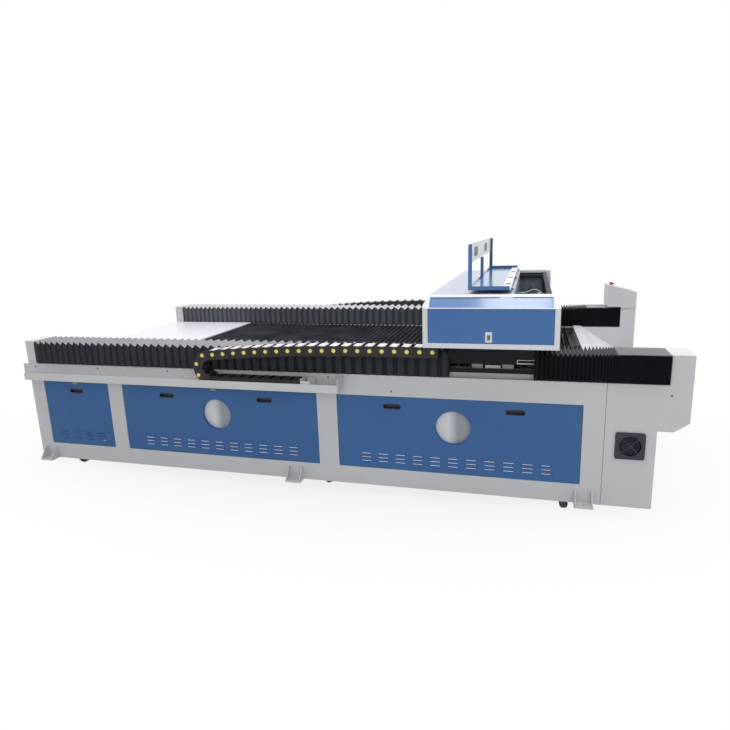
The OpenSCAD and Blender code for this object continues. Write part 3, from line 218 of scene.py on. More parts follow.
def painted(name, colour, roughness, coat=0.0, mottle=0.05, peel=0.15, shine=0.5):
    """Sprayed or powder-coated steel: broad faint mottling, fine orange peel, dust that dulls the gloss."""
    material, tree, bsdf = new_material(name)
    finish_with(tree, bsdf, mottled(tree, colour, mottle),
                span(tree, noise(tree, SPECKLE, 5.0), roughness - 0.07, roughness + 0.07))
    bump(tree, bsdf, noise(tree, PEEL, 2.0), peel, PEEL_DEPTH)
    bsdf.inputs["Coat Weight"].default_value = coat
    bsdf.inputs["Coat Roughness"].default_value = 0.12
    bsdf.inputs["Specular IOR Level"].default_value = shine
    return material


def shaded_on_top(name, colour, top_shade_colour, roughness):
    """Paint whose level upward faces are painted a darker, bluish grey: painted shade."""
    material, tree, bsdf = new_material(name)
    level = span(tree, axes_of(tree, "Normal")["Z"], start=0.8, end=0.95)
    finish_with(tree, bsdf,
                mix_colours(tree, level, mottled(tree, colour, 0.015), mottled(tree, top_shade_colour, 0.04)),
                span(tree, noise(tree, SPECKLE, 5.0), roughness - 0.05, roughness + 0.1))
    bump(tree, bsdf, noise(tree, PEEL, 2.0), 0.1, PEEL_DEPTH)
    return material


def shaded_inside(name, colour, shade_colour, centre, half):
    """Grey powder coat, painted dark in uneven patches inside the box at centre with half sizes half: painted
    shade.
    """
    material, tree, bsdf = new_material(name)
    axes = axes_of(tree, "Object")
    edge = 2 * MM
    inside = None
    for axis, middle, reach in zip("XYZ", centre, half):
        away = calc(tree, "ABSOLUTE", calc(tree, "SUBTRACT", axes[axis], middle))
        within = span(tree, away, start=reach, end=reach - edge)
        inside = within if inside is None else calc(tree, "MULTIPLY", inside, within)
    # The dark patches are painted shade.
    smoke = ramp(tree, noise(tree, 5.0, 8.0), 0.35, 0.7, shade(shade_colour, 0.7), shade(shade_colour, 1.4))
    finish_with(tree, bsdf, mix_colours(tree, inside, mottled(tree, colour, 0.02), smoke),
                span(tree, noise(tree, SPECKLE, 5.0), 0.35, 0.49))
    bump(tree, bsdf, noise(tree, PEEL, 2.0), 0.15, PEEL_DEPTH)
    return material


def discs_with_painted_reflection(name, lit_side_colour, shaded_side_colour, first, spacing, width):
    """Thin zinc discs, painted lighter on the left and darker on the right of each, at even places along X: a
    painted reflection.
    """
    material, tree, bsdf = new_material(name)
    away = calc(tree, "SUBTRACT", axes_of(tree, "Object")["X"], first - width / 2)
    part = span(tree, calc(tree, "FLOORED_MODULO", away, spacing), end=width)
    finish_with(tree, bsdf, ramp(tree, part, 0.38, 0.62, lit_side_colour, shaded_side_colour),
                span(tree, noise(tree, 12.0, 4.0), 0.3, 0.45))
    bump(tree, bsdf, noise(tree, 300.0, 2.0), 0.1, GRAIN_DEPTH)
    return material


def metal(name, colour, roughness, grain=(8.0, 8.0, 500.0)):
    """Ground or drawn metal with a grain along one axis."""
    material, tree, bsdf = new_material(name)
    lines = noise(tree, grain, 3.0)
    finish_with(tree, bsdf, ramp(tree, lines, 0.25, 0.75, shade(colour, 0.86), shade(colour, 1.1)),
                span(tree, lines, roughness - 0.08, roughness + 0.1))
    bsdf.inputs["Metallic"].default_value = 1.0
    bump(tree, bsdf, lines, 0.12, GRAIN_DEPTH)
    return material


def plastic(name, colour, roughness, grain=700.0, shine=0.5):
    """Moulded plastic with a fine spark-eroded grain."""
    material, tree, bsdf = new_material(name)
    patch = noise(tree, 14.0, 3.0)
    finish_with(tree, bsdf, ramp(tree, patch, 0.3, 0.7, shade(colour, 0.88), shade(colour, 1.12)),
                span(tree, patch, roughness - 0.05, roughness + 0.08))
    bump(tree, bsdf, noise(tree, grain, 1.0), 0.25, GRAIN_DEPTH)
    bsdf.inputs["Specular IOR Level"].default_value = shine
    return material


def coated_cloth(name, colour, roughness, dusty=1.5, shine=0.1):
    """PVC-coated bellows cloth: a fine crossed weave under a slightly glossy, dusty coat."""
    material, tree, bsdf = new_material(name)
    threads = []
    for direction in "YZ":
        wave = tree.nodes.new("ShaderNodeTexWave")
        wave.bands_direction = direction
        wave.inputs["Scale"].default_value = 160.0
        tree.links.new(coords(tree, 1.0), wave.inputs["Vector"])
        threads.append(wave.outputs["Fac"])
    dust = noise(tree, 6.0, 6.0)
    finish_with(tree, bsdf, ramp(tree, dust, 0.35, 0.75, colour, shade(colour, dusty)),
                span(tree, dust, roughness - 0.08, roughness + 0.1))
    bump(tree, bsdf, calc(tree, "MULTIPLY", *threads), 0.2, GRAIN_DEPTH)
    bsdf.inputs["Specular IOR Level"].default_value = shine
    return material


def glass(name, colour):
    """Tinted tube glass with faint streaks along Y."""
    material, tree, bsdf = new_material(name)
    streak = noise(tree, (30.0, 2.0, 30.0), 2.0)
    finish_with(tree, bsdf, ramp(tree, streak, 0.3, 0.7, shade(colour, 0.95), colour),
                span(tree, streak, 0.02, 0.07))
    bsdf.inputs["Transmission Weight"].default_value = 0.85
    bsdf.inputs["IOR"].default_value = 1.2
    return material


def smoked_steel(name, colour):
    """Bed slats: mill steel, browned and dusted by cutting smoke."""
    material, tree, bsdf = new_material(name)
    smoke = noise(tree, 5.0, 8.0)
    finish_with(tree, bsdf, ramp(tree, smoke, 0.35, 0.7, shade(colour, 0.6), shade(colour, 1.5)),
                span(tree, smoke, 0.45, 0.75))
    bsdf.inputs["Metallic"].default_value = 0.6
    bump(tree, bsdf, noise(tree, 260.0, 4.0), 0.3, 0.5 * MM)
    return material


GREY_PAINT = srgb(199, 200, 203)
BLUE_PAINT = srgb(66, 107, 158)
GANTRY_BLUE = srgb(46, 105, 165)
WHITE_PAINT = srgb(217, 219, 225)

MATERIALS = {
    "grey_paint": painted("grey_powder_coat", GREY_PAINT, 0.42, mottle=0.02),
    "blue_paint": painted("blue_powder_coat", BLUE_PAINT, 0.5, mottle=0.05, shine=0.14),
    "white_paint": painted("white_paint", WHITE_PAINT, 0.30, mottle=0.015),
    "gantry_blue": painted("gantry_blue", GANTRY_BLUE, 0.3, coat=0.9, mottle=0.03, peel=0.04, shine=0.15),
    "black_bellows": coated_cloth("bellows_cloth", srgb(27, 30, 35), 0.5, 1.3),
    "black_plastic": plastic("black_plastic", srgb(30, 36, 50), 0.45),
    "chain_plastic": plastic("chain_nylon", srgb(46, 38, 39), 0.55, shine=0.3),
    "steel": metal("ground_steel", srgb(176, 178, 182), 0.32),
    "slat_steel": smoked_steel("slat_steel", srgb(74, 76, 84)),
    "black_paint": painted("black_paint", srgb(28, 31, 36), 0.5, mottle=0.1, shine=0.12),
    "aluminium": metal("aluminium", srgb(200, 202, 206), 0.38, (8.0, 500.0, 8.0)),
    "rubber_belt": plastic("belt_rubber", srgb(26, 26, 27), 0.7),
    "red_plastic": plastic("red_plastic", srgb(150, 36, 40), 0.35),
    "yellow_plastic": plastic("yellow_plastic", srgb(226, 222, 120), 0.4),
    "tube_glass": glass("tube_glass", srgb(150, 162, 172)),
    "wheel_tread": plastic("wheel_rubber", srgb(40, 40, 42), 0.6),
}

# Painted light: the bars of the upper runs are a pale lit copy of the chain's nylon, and LOWER_BAR, for the
# bars and plates below, a dark shaded copy.
LIT_CHAIN_BAR = plastic("lit_nylon", srgb(212, 210, 215), 0.4)
LOWER_BAR = plastic("shaded_nylon", srgb(38, 42, 48), 0.5, shine=0.2)
CAP_RING = plastic("olive_ring", srgb(84, 80, 30), 0.5)
BAY_PAINT = painted("bay_paint", srgb(102, 112, 126), 0.5, shine=0.2)
BAY_SHADE = painted("bay_shade", srgb(36, 41, 47), 0.5, shine=0.1)
ZINC = painted("zinc_plate", srgb(196, 199, 202), 0.35, mottle=0.06)
PALE_PLASTIC = plastic("pale_plastic", srgb(205, 203, 198), 0.4)
# Painted shade for the gap of the cabinet's joint.
JOINT_SHADE = plastic("joint_gap_shade", srgb(120, 122, 128), 0.6)
SCREEN = plastic("screen", srgb(96, 102, 110), 0.5, 300.0)
BROWN = plastic("brown_plastic", srgb(104, 84, 80), 0.5)
# Painted light: lighter copies of the bellows cloth for the far left cover, which faces the lamps, for its
# sides and its alternate folds.
LIT_FAR_CLOTHS = (coated_cloth("lit_far_cloth", srgb(62, 66, 71), 0.5, 1.2),
                coated_cloth("lit_far_fold", srgb(86, 90, 96), 0.5, 1.2))
# Painted light: a lighter copy of the bellows cloth for the fold faces turned to the lamps.
LIT_FOLD_CLOTH = coated_cloth("lit_fold_cloth", srgb(49, 52, 58), 0.5, 1.25)
# The covers' tops: dust with a painted sheen, in lit and shaded copies for the two slopes of each fold; the
# spikes of the fanned covers are painted the same way.
DUST_AND_SHEEN_CLOTHS = {"near": (coated_cloth("near_top_light", srgb(146, 146, 150), 0.5, 1.12),
                         coated_cloth("near_top_dark", srgb(158, 157, 161), 0.5, 1.15)),
                "far": (coated_cloth("far_top_light", srgb(192, 192, 195), 0.5, 1.06),
                        coated_cloth("far_top_dark", srgb(176, 176, 180), 0.5, 1.08))}
SPIKE_CLOTHS = (coated_cloth("spike_light", srgb(134, 133, 138), 0.5, 1.15),
                coated_cloth("spike_dark", srgb(92, 91, 96), 0.5, 1.3))

PORT_X, PORT_SPACING, PORT_CAP_WIDTH = -0.6205, 1.515, 0.212
# The box inside the bed's opening where the frame's paint is painted dark: painted shade.
SHADE_BOX_CENTRE, SHADE_BOX_HALF = (0.2, 0, 0.35), (1.439, 0.803, 0.401)
SLOT_OF = {row["node"]: row["material_slot"] for row in frame["record"]["subparts"]}
SPECIAL = {
    "chain_brackets": ZINC,
    # The light-to-dark fall across each port cap is a painted reflection.
    "port_caps": discs_with_painted_reflection("galvanised_painted_reflection", srgb(216, 220, 223), srgb(150, 156, 163),
                           PORT_X, PORT_SPACING, PORT_CAP_WIDTH),
    "bearing_blocks": plastic("block_plastic", srgb(140, 138, 132), 0.5),
    # The housing's level tops are painted a darker bluish grey: painted shade.
    "gantry_housing": shaded_on_top("housing_paint", WHITE_PAINT, srgb(174, 179, 196), 0.35),
    # Inside the bed's opening the frame is painted dark: painted shade.
    "base_frame": shaded_inside("frame_paint", GREY_PAINT, srgb(40, 42, 48), SHADE_BOX_CENTRE, SHADE_BOX_HALF),
    "hopper": MATERIALS["slat_steel"],
    "control_panel": MATERIALS["grey_paint"],
    "estop_collar": MATERIALS["grey_paint"],
}
for node, obj in frame["nodes"].items():
    material = SPECIAL.get(node, MATERIALS[SLOT_OF[node]])
    for slot in obj.material_slots:
        slot.material = material


# ---------------------------------------------------------------- mesh helpers
def piece(name, vertices, faces, slot, body, smooth=False, material=None):
    mesh = bpy.data.meshes.new(name)
    mesh.from_pydata([tuple(v) for v in vertices], [], faces)
    mesh.validate()
    mesh.materials.append(material or MATERIALS[slot])
    for polygon in mesh.polygons:
        polygon.use_smooth = smooth
    obj = bpy.data.objects.new(name, mesh)
    bpy.context.collection.objects.link(obj)
    if body:
        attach(obj, body)
    return obj


def thicken(obj, thickness):
    modifier = obj.modifiers.new("thickness", "SOLIDIFY")
    modifier.thickness = thickness
    modifier.offset = -1.0


# ---------------------------------------------------------------- bellows
PLEATS = 52
FANNED_PLEATS = 56
PLEAT_DEPTH, LEAST_DEPTH = 25 * MM, 8 * MM
CLOTH = 1.2 * MM
# Spike tops are painted pale: painted sheen.
SPIKE_WIDTH = 5.2 * MM               # a fanned fold wider than this stands up as a pale spike
SIDES, LIT_FOLDS, TOPS, SPIKES = 0, 1, 2, 4      # where the materials of a cover start in its list


def bellows_section(low, high, inset, side, drop):
    """Inverted U across the rail: up one side, over the top and down the other, drawn in at a valley."""
    y0, y1, z0, z1 = low.y + side, high.y - side, low.z - drop, high.z - inset
    return [(y0, z0), (y0, z1), (y1, z1), (y1, z0)]


def fold_places(low, high, fanned):
    """Where the folds fall along X: a little wider towards the gantry, or fanned out beside it."""
    count = 2 * (FANNED_PLEATS if fanned else PLEATS)
    if fanned:
        packed, spread, middle, softness = 3.3, 8.7, 32, 7
        widths = [packed + spread / (1 + math.exp((i - middle) / softness)) for i in range(count)]
    else:
        narrowest, growth = 0.82, 0.36
        widths = [narrowest + growth * i / count for i in range(count)]
    total = sum(widths)
    places, x = [low.x], low.x
    for width in widths:
        x += width / total * (high.x - low.x)
        places.append(x)
    return places


def make_bellows(node, body, fanned):
    """Pleated cloth. The tops are dusty and carry a painted sheen; alternate fold faces of the stretched
    covers are painted lighter as the faces turned to the light.
    """
    low, high = (Vector(corner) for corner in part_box(node))
    places = fold_places(low, high, fanned)
    vertices, faces, slots = [], [], []
    steepness, pinch = 1.1, 0.7 if fanned else 0.45
    valley_drop, peak_drop = 3 * MM, 8 * MM
    for i, x in enumerate(places):
        opening = places[min(i + 1, len(places) - 1)] - places[max(i - 1, 0)]
        depth = min(PLEAT_DEPTH, max(LEAST_DEPTH, opening * steepness))
        valley = i % 2 == 0
        shape = (depth, depth * pinch, valley_drop) if valley else (0, 0, peak_drop)
        vertices += [(x, y, z) for y, z in bellows_section(low, high, *shape)]
    ring, top = 4, 1                 # points in a section, and the stretch of it that lies on top
    for i in range(len(places) - 1):
        spiky = fanned and places[i + 1] - places[i] > SPIKE_WIDTH
        for k in range(ring - 1):
            a = i * ring + k
            faces.append((a, a + 1, a + ring + 1, a + ring))
            if k == top:
                # The top faces alternate between the lit and shaded copies: painted sheen.
                slots.append((SPIKES if spiky else TOPS) + (i + 1) % 2)
            else:
                # Alternate fold faces of the stretched covers take the lighter cloth: painted light.
                slots.append(LIT_FOLDS if i % 2 and not fanned else SIDES)
    lit_far = node == "far_bellows_left"
    cover = piece(node + "_cloth", vertices, faces, "black_bellows", body)
    # The far left cover takes the lighter cloths: painted light.
    if lit_far:
        cover.data.materials[SIDES] = LIT_FAR_CLOTHS[0]
    # The tops' cloths: dust with a painted sheen.
    dusty = DUST_AND_SHEEN_CLOTHS[node.split("_")[0]]
    for material in (LIT_FAR_CLOTHS[1] if lit_far else LIT_FOLD_CLOTH, *dusty, *SPIKE_CLOTHS):
        cover.data.materials.append(material)
    for polygon, slot in zip(cover.data.polygons, slots):
        polygon.material_index = slot
    thicken(cover, CLOTH)
    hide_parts(node)
    return cover


for side in ("near", "far"):
    left = side + "_bellows_left"
    right = side + "_bellows_right"
    left_cover = make_bellows(left, "base", False)
    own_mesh(left_cover)
    right_cover = make_bellows(right, None, True)
    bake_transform(right_cover)


# ---------------------------------------------------------------- drag chains
LINK_PITCH = 70 * MM
LINK_HEIGHT = 62 * MM
LOW_HEIGHT = 50 * MM
CHAIN_WIDTH = 91 * MM
CHAIN_RADIUS = 75 * MM
CAP_RADIUS = 11 * MM
RING_RADIUS = 1.4 * CAP_RADIUS
CAP_DEPTH = 4 * MM
CAP_PROUD = 2 * MM
PLATE = 5 * MM                       # thickness of a link's side plates and bars
BAR_INSET = 8 * MM                   # how far the bars' ends lie inside the chain's sides
OVERLAP = 2.5 * MM                   # every other link's plates lie this far inside their neighbours'


class Build:
    """Collects solids into one mesh."""

    def __init__(self):
        self.vertices, self.faces = [], []

    def loft(self, rings):
        """Closed solid through rings of equal length, capped at both ends."""
        base, count = len(self.vertices), len(rings[0])
        for ring in rings:
            self.vertices += [Vector(p) for p in ring]
        for i in range(len(rings) - 1):
            for k in range(count):
                a, b = base + i * count + k, base + i * count + (k + 1) % count
                self.faces.append((a, b, b + count, a + count))
        self.faces.append(tuple(base + k for k in reversed(range(count))))
        self.faces.append(tuple(base + (len(rings) - 1) * count + k for k in range(count)))

    def plate(self, outline, y0, y1):
        """Outline of (x, z) points, counted clockwise seen from the near side, drawn out along Y."""
        self.loft([[(x, y, z) for x, z in outline] for y in (y0, y1)])

    def box(self, low, high):
        (x0, y0, z0), (x1, y1, z1) = low, high
        self.plate([(x0, z0), (x1, z0), (x1, z1), (x0, z1)], y0, y1)

    def disc(self, x, z, radius, y0, y1, sides=20):
        turn = [2 * math.pi * k / sides for k in range(sides)]
        self.plate([(x + radius * math.cos(a), z + radius * math.sin(a)) for a in turn], y0, y1)


def link_outline(half, height):
    """Side plate of one link: round at its pin, waisted between the pins, with a lug on the back."""
    r = height / 2
    points = []
    for k in range(9):
        a = math.radians(90 + 22.5 * k)
        points.append((-half + r * 0.72 * math.cos(a), r * math.sin(a)))
    points += [(-half * 0.2, -r), (0, -r * 0.88), (half * 0.45, -r * 0.88), (half * 0.6, -r), (half, -r)]
    points += [(half + 4 * MM, -r * 0.6), (half + 4 * MM, r * 0.6), (half, r), (half * 0.6, r)]
    points += [(half * 0.45, r * 0.9), (0, r * 0.9), (-half * 0.2, r)]
    return points


def placed(outline, x, z, angle):
    c, s = math.cos(angle), math.sin(angle)
    return [(x + px * c - pz * s, z + px * s + pz * c) for px, pz in outline]


def chain_links(stations, height, y_near, y_far):
    """Side plates, lower bars and upper bars of the links at the given (x, z, angle) stations."""
    plates, low_bars, bars = Build(), Build(), Build()
    half = LINK_PITCH / 2
    for i, (x, z, angle) in enumerate(stations):
        offset = 0 if i % 2 else OVERLAP
        for side in (y_near + CAP_PROUD + offset, y_far - CAP_PROUD - offset - PLATE):
            plates.plate(placed(link_outline(half, height - offset), x, z, angle), side, side + PLATE)
        reach = half * 0.62
        for across in (height / 2 - PLATE, -height / 2):
            bar = [(-reach, across), (reach, across), (reach, across + PLATE), (-reach, across + PLATE)]
            row = bars if across > 0 else low_bars
            row.plate(placed(bar, x, z, angle), y_near + BAR_INSET, y_far - BAR_INSET)
    return plates, low_bars, bars


def chain_arch(x, z, y_near, y_far):
    """The bend: two curved side plates and the bars between them, round (x, z)."""
    plates, inner_bars, bars = Build(), Build(), Build()
    inner, outer = CHAIN_RADIUS - LINK_HEIGHT / 2, CHAIN_RADIUS + LINK_HEIGHT / 2

    def spot(radius, angle):
        return x - radius * math.sin(angle), z + radius * math.cos(angle)

    for side in (y_near + CAP_PROUD, y_far - CAP_PROUD - PLATE):
        rings = []
        for degrees in range(0, 181, 10):
            angle = math.radians(degrees)
            (xi, zi), (xo, zo) = spot(inner, angle), spot(outer, angle)
            rings.append([(xi, side, zi), (xo, side, zo), (xo, side + PLATE, zo), (xi, side + PLATE, zi)])
        plates.loft(rings)
    bar_count, apart, start, end = 4, 48, 6, 34      # angles in degrees
    for k in range(bar_count):
        for radius in (inner + 1 * MM, outer - 6 * MM):
            a0, a1 = math.radians(apart * k + start), math.radians(apart * k + end)
            corners = [spot(radius, a0), spot(radius, a1), spot(radius + PLATE, a1), spot(radius + PLATE, a0)]
            row = bars if radius > inner + 2 * MM else inner_bars
            row.plate(corners, y_near + BAR_INSET, y_far - BAR_INSET)
    return plates, inner_bars, bars


def chain_pieces(name, body, built, cap_places, y_near, y_far, outward, bar_material):
    """Pieces of one stretch of chain. outward is -1 when its outer side faces -Y."""
    plates, shaded, bars = built

    def part(ending, build, slot="chain_plastic", material=None):
        return piece(name + ending, build.vertices, build.faces, slot, body, material=material)

    made = [part("_plates", plates, material=LOWER_BAR if name.endswith("lower") else None),
            part("_shaded_bars", shaded, material=LOWER_BAR),
            part("_bars", bars, material=bar_material)]
    if cap_places:
        caps, rings = Build(), Build()
        low, high = (y_near, y_near + CAP_DEPTH) if outward < 0 else (y_far - CAP_DEPTH, y_far)
        step = -1 * MM if outward > 0 else 1 * MM
        for x, z in cap_places:
            caps.disc(x, z, CAP_RADIUS, low, high)
            rings.disc(x, z, RING_RADIUS, low + step, high + step)
        made += [part("_caps", caps, "yellow_plastic"), part("_rings", rings, material=CAP_RING)]
    return made


def smoothed(points, steps=5):
    """Catmull-Rom curve through the points."""
    found = []
    last = len(points) - 1
    for i in range(last):
        a, b, c, d = (points[min(max(k, 0), last)] for k in (i - 1, i, i + 1, i + 2))
        for k in range(steps):
            t = k / steps
            found.append(0.5 * (2 * b + (c - a) * t + (2 * a - 5 * b + 4 * c - d) * t ** 2
                                + (3 * b - a - 3 * c + d) * t ** 3))
    return found + [points[-1]]


def tube_path(build, points, radius, sides=10):
    """Round hose through points that lie in one XZ plane."""
    side = Vector((0, 1, 0))
    turn = [2 * math.pi * k / sides for k in range(sides)]
    rings = []
    for i, point in enumerate(points):
        ahead = (points[min(i + 1, len(points) - 1)] - points[max(i - 1, 0)]).normalized()
        up = side.cross(ahead)
        rings.append([point + radius * (math.cos(a) * side + math.sin(a) * up) for a in turn])
    build.loft(rings)


def make_chains():
    """The upper run sags towards the bend, which moves at half the gantry's speed."""
    upper_low, upper_high = (Vector(c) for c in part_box("chain_upper_runs"))
    lower_low, lower_high = (Vector(c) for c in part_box("chain_lower_runs"))
    bend_x = upper_low.x
    end_x, lower_end = upper_high.x, lower_high.x
    z_lower = (lower_low.z + lower_high.z) / 2
    z_upper = z_lower + 2 * CHAIN_RADIUS
    rise = upper_high.z - LINK_HEIGHT / 2 - z_upper
    width = CHAIN_WIDTH + 2 * CAP_PROUD
    upper, upper_caps = [], []
    count = round((end_x - bend_x) / LINK_PITCH)
    for i in range(count):
        s = (i + 0.5) / count
        slope = 3 * rise * (1 - s) ** 2 / (end_x - bend_x)
        x, z = bend_x + s * (end_x - bend_x), z_upper + rise * (1 - (1 - s) ** 3)
        upper.append((x, z, math.atan(slope)))
        drift = (10.5 * i / (count - 1) - 1.5) * MM      # of a cap from its link's middle
        upper_caps.append((x + drift, z + 3 * MM))
    lower_count = round((lower_end - bend_x) / LINK_PITCH)
    lower_z = lower_low.z + LOW_HEIGHT / 2
    lower = [(bend_x + (i + 0.5) * (lower_end - bend_x) / lower_count, lower_z, 0)
             for i in range(lower_count)]
    middle_z = (z_lower + z_upper) / 2
    bend_caps = [(bend_x + x * MM, middle_z + z * MM) for x, z in ((-37, 76), (-82, 22), (-74, -48))]
    for side, outward in (("near", -1), ("far", 1)):
        edge = lower_low.y if outward < 0 else lower_high.y
        across = (edge, edge + width) if outward < 0 else (edge - width, edge)
        for run in chain_pieces(side + "_chain_upper", "gantry", chain_links(upper, LINK_HEIGHT, *across),
                                upper_caps, *across, outward, LIT_CHAIN_BAR):
            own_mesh(run)
            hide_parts("chain_upper_runs")
        for run in chain_pieces(side + "_chain_lower", None, chain_links(lower, LOW_HEIGHT, *across),
                                [], *across, outward, LOWER_BAR):
            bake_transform(run)
            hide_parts("chain_lower_runs")
        for run in chain_pieces(side + "_chain_bend", "chain_bend", chain_arch(bend_x, middle_z, *across),
                                bend_caps, *across, outward, LOWER_BAR):
            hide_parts("chain_bends")


make_chains()


# ---------------------------------------------------------------- gantry details
# Levels and places below are in millimetres, as at() takes them.
ROOF = 1230
FRAME_TUBE = 26.2                    # square tube of the bay's frame
BAY_LEFT, BAY_RIGHT, BAY_NEAR, BAY_FAR, BAY_FLOOR = 3278, 3504, -99, 1561, 988
HOSE_DIAMETER = 4.4 * MM


def blocks(name, boxes, slot, body, material=None):
    """One piece made of boxes, each given as its low and high corners in millimetres."""
    build = Build()
    for low, high in boxes:
        build.box(at(*low), at(*high))
    return piece(name, build.vertices, build.faces, slot, body, material=material)


def make_bay():
    """Dark lining and grey frame rails of the open tube bay."""
    gap = 0.5
    x0, x1, y0, y1 = BAY_LEFT + gap, BAY_RIGHT - gap, BAY_NEAR + gap, BAY_FAR - gap
    z0, sill, corner = BAY_FLOOR + gap, ROOF - 17, 3476
    post, wide, top = 3444.4, 3470.6, 1212.6
    under, back, far = top - FRAME_TUBE, y1 - FRAME_TUBE, y1 - 1.1
    cross = 1320.4
    blocks("bay_lining", [
        ((x0, y0, z0), (x1, y1, z0 + 1)),
        ((x0, y0, z0), (x0 + 1, y1, ROOF - 4)),
        ((x0, y0, z0), (wide, y0 + 1, ROOF - 50)),
        ((x0, y1 - 1, z0), (corner, y1, sill))], "black_paint", "gantry", BAY_PAINT)
    blocks("bay_frame", [
        ((post, y0, under), (wide, far, top)),
        ((post, back, z0), (wide, far, top)),
        ((x0, back, under), (post, far, top)),
        ((x0, cross, under), (post, cross + FRAME_TUBE, top)),
        ((x0, y0, under), (post, y0 + FRAME_TUBE, top))], "black_paint", "gantry", BAY_SHADE)
    blocks("bay_rails", [
        ((x0, y1 - 1, sill), (x1, y1, ROOF - 2)), ((corner, y1 - 1, z0), (x1, y1, sill))],
        "grey_paint", "gantry")


def make_hoses():
    """Coolant hoses beside the laser tube: bay's wall to jacket, and jacket to bay's floor."""
    axis_x, axis_z, flank = 3388, 1103, math.radians(22)
    seat = 39                        # 1 mm less than the jacket's radius: one end of each hose lies inside it
    routes = {
        "supply": (340, 0.236, (
            (BAY_LEFT + 1.4, 1178), (3296, 1188), (3316, 1189), (3334, 1191), (3352, 1199), (3371, 1206),
            (3391, 1206), (3410, 1198), (3426, 1183), (3437, 1164), (3441, 1145), (3436, 1129),
            (axis_x + seat * math.cos(flank), axis_z + seat * math.sin(flank)))),
        "return": (400, 0.265, (
            (axis_x, axis_z + seat), (3390, 1160), (3398, 1174), (3413, 1181), (3430, 1176), (3444, 1162),
            (3454, 1140), (3459, 1110), (3461, 1070), (3461, 1030), (3461, BAY_FLOOR + 1.3)))}
    for name, (y, length, places) in routes.items():
        path = smoothed([at(x, y, z) for x, z in places])
        build = Build()
        tube_path(build, path, HOSE_DIAMETER / 2)
        hose = piece("coolant_hose_" + name, build.vertices, build.faces, "tube_glass", "gantry",
                     smooth=True, material=PALE_PLASTIC)


def make_cover_trim():
    """White vent band with its screens, and the hinge strip, of the open tube cover."""
    blocks("vent_band", [((3048.4, -74, 1384), (3049.6, 1536, 1482))], "white_paint", "cover")
    screens = Build()
    level, radius, straight, sides = 1433, 27, 78, 24      # an oval: half circles at the ends of a straight
    for y in (310, 1040):
        turn = [2 * math.pi * k / sides for k in range(sides)]
        outline = [(y + math.copysign(straight, math.cos(a)) + radius * math.cos(a),
                    level + radius * math.sin(a)) for a in turn]
        screens.loft([[at(x, u, v) for u, v in outline] for x in (3044.5, 3051)])
    piece("vent_screens", screens.vertices, screens.faces, "black_plastic", "cover", material=SCREEN)
    blocks("far_return_shade", [((3048.2, 1556, 1250.4), (3256, 1556.7, 1269)),
                                ((3048.2, 1556, 1269), (3065, 1556.7, 1483))], "blue_paint", "cover",
           painted("shaded_return", srgb(84, 98, 118), 0.5, shine=0.1))
    blocks("hinge_strip", [((3216, -96, 1252.2), (3260, 1558, 1253.4))], "white_paint", "cover")
    blocks("hinge_slots", [((3224, y - 30, 1253), (3252, y + 30, 1254)) for y in (215, 634, 1150)],
           "black_plastic", "cover")


def make_fittings():
    """Panel catches, screws, a dark strip of painted shade along the cabinet's joint, the socket's insert,
    strips beside the near rail.
    """
    blocks("rail_ledge", [((3000, 26, 752.5), (3392, 31, 779)), ((2932, 26, 752.5), (3000, 31, 779))],
           "grey_paint", "base", painted("ledge_paint", srgb(170, 171, 174), 0.45))
    blocks("rail_strip", [((80, 25.5, 779), (4050, 31, 803.5))], "black_paint", "base")
    blocks("carriage_plates", [((3129, 41, 803.6), (3212, 60, 821))], "steel", "gantry",
           plastic("plate_grey", srgb(196, 192, 190), 0.45))
    blocks("carriage_bracket", [
        ((3300, 20, 856), (3390, 22, 859)), ((3300, 20, 836), (3390, 22, 841)),
        ((3300, 20, 841), (3303, 22, 856)), ((3386, 20, 859), (3390, 22, 866))], "white_paint", "gantry")
    blocks("panel_catches", [((x - 17, -2, 612), (x + 17, 4, 628)) for x in (370, 1434)], "steel", "base",
           plastic("catch_zinc", srgb(150, 146, 132), 0.5))
    screws = Build()
    radius, head = 4.5 * MM, 2
    for x, y, z in ((60, -3, 731), (578, -3, 731), (1115, -3, 731), (1655, -3, 731), (2216, -3, 731),
                    (2598, 0, 657), (4068, 0, 697)):
        low = at(x, y - head, z)
        screws.disc(low.x, low.z, radius, low.y, low.y + head * MM, 12)
    piece("screws", screws.vertices, screws.faces, "black_paint", "base")
    # A dark strip along the cabinet's joint: painted shade in the gap.
    blocks("cabinet_joint", [((3758.6, -0.5, 64), (3761.4, 0, 750))], "grey_paint", "base", JOINT_SHADE)
    blocks("socket_insert", [((3152, -164.6, 1000), (3166, -163.4, 1026))], "black_plastic", "gantry", BROWN)


make_bay()
make_hoses()
make_cover_trim()
make_fittings()


# ---------------------------------------------------------------- studio
WHITE = (1, 1, 1, 1)


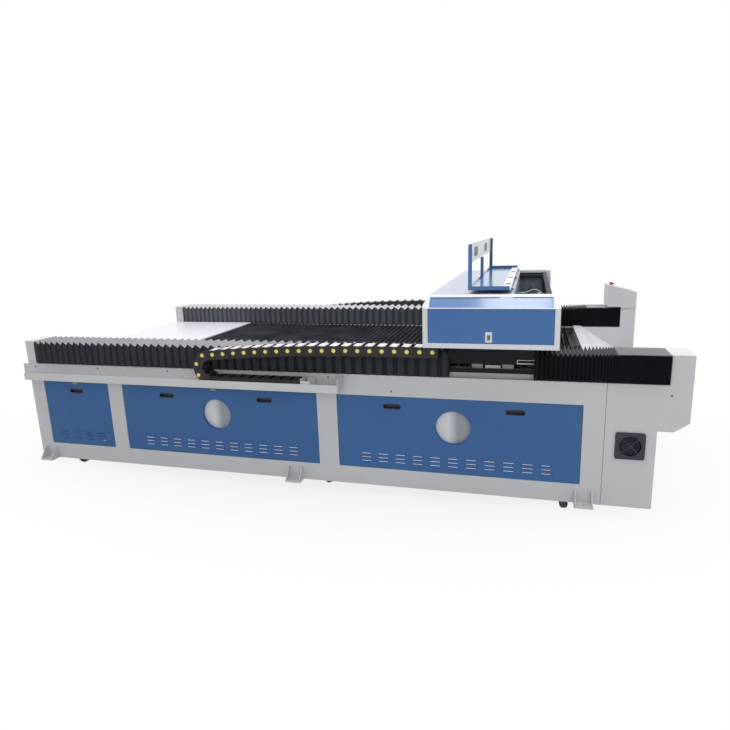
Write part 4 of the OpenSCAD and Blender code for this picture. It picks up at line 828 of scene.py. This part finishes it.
def make_floor():
    """Pale floor whose plain white takes over with distance, so that only the machine's shadow is left."""
    reach, pale = 40.0, 0.62
    oval = (0.36, 0.6, 0.0)          # the fade follows an oval, longer along X than along Y
    fade_start, fade_end, least_white = 0.55, 1.25, 0.82
    corners = [(-reach, -reach, 0), (reach, -reach, 0), (reach, reach, 0), (-reach, reach, 0)]
    mesh = bpy.data.meshes.new("floor")
    mesh.from_pydata(corners, [], [(0, 1, 2, 3)])
    floor = bpy.data.objects.new("floor", mesh)
    bpy.context.collection.objects.link(floor)
    material, tree, bsdf = new_material("floor_pale")
    bsdf.inputs["Base Color"].default_value = (pale, pale, pale, 1)
    bsdf.inputs["Roughness"].default_value = 0.9
    bsdf.inputs["Specular IOR Level"].default_value = 0.0
    glow = tree.nodes.new("ShaderNodeEmission")
    glow.inputs["Strength"].default_value = 1.0
    place = tree.nodes.new("ShaderNodeTexCoord")
    flat = tree.nodes.new("ShaderNodeMapping")
    flat.inputs["Scale"].default_value = oval
    distance = tree.nodes.new("ShaderNodeVectorMath")
    distance.operation = "LENGTH"
    tree.links.new(place.outputs["Object"], flat.inputs["Vector"])
    tree.links.new(flat.outputs["Vector"], distance.inputs[0])
    fade = span(tree, distance.outputs["Value"], least_white, 1.0, fade_start, fade_end, "SMOOTHSTEP")
    mix_shaders(tree, calc(tree, "MULTIPLY", seen_rays(tree), fade), bsdf.outputs["BSDF"],
                glow.outputs["Emission"], tree.nodes["Material Output"])
    mesh.materials.append(material)


def make_world():
    """Soft white light, and a plain white background for what the camera sees."""
    world = bpy.data.worlds.new("studio")
    bpy.context.scene.world = world
    world.use_nodes = True
    tree = world.node_tree
    light, backdrop = tree.nodes["Background"], tree.nodes.new("ShaderNodeBackground")
    for background, strength in ((light, 0.55), (backdrop, 1.0)):
        background.inputs["Color"].default_value = WHITE
        background.inputs["Strength"].default_value = strength
    mix_shaders(tree, seen_rays(tree), light.outputs["Background"], backdrop.outputs["Background"],
                tree.nodes["World Output"])


def make_lamps():
    for name, place, aim, size, watts in (
            ("ceiling", (0.5, 0.4, 6.0), (0.5, 0.4, 0), (9, 6), 350),
            ("front", (2.0, -7.0, 3.2), (0, 0, 0.6), (6, 3), 75),
            ("softbox", (1.15, -2.0, 5.2), (1.15, -1.1, 1.2), (0.8, 0.8), 24)):
        data = bpy.data.lights.new(name, "AREA")
        data.shape = "RECTANGLE"
        data.size, data.size_y = size
        data.energy = watts
        lamp = bpy.data.objects.new(name, data)
        lamp.location = place
        lamp.rotation_euler = (Vector(aim) - Vector(place)).to_track_quat("-Z", "Y").to_euler()
        bpy.context.collection.objects.link(lamp)


make_floor()
make_world()
make_lamps()
bpy.context.scene.view_settings.view_transform = "Standard"
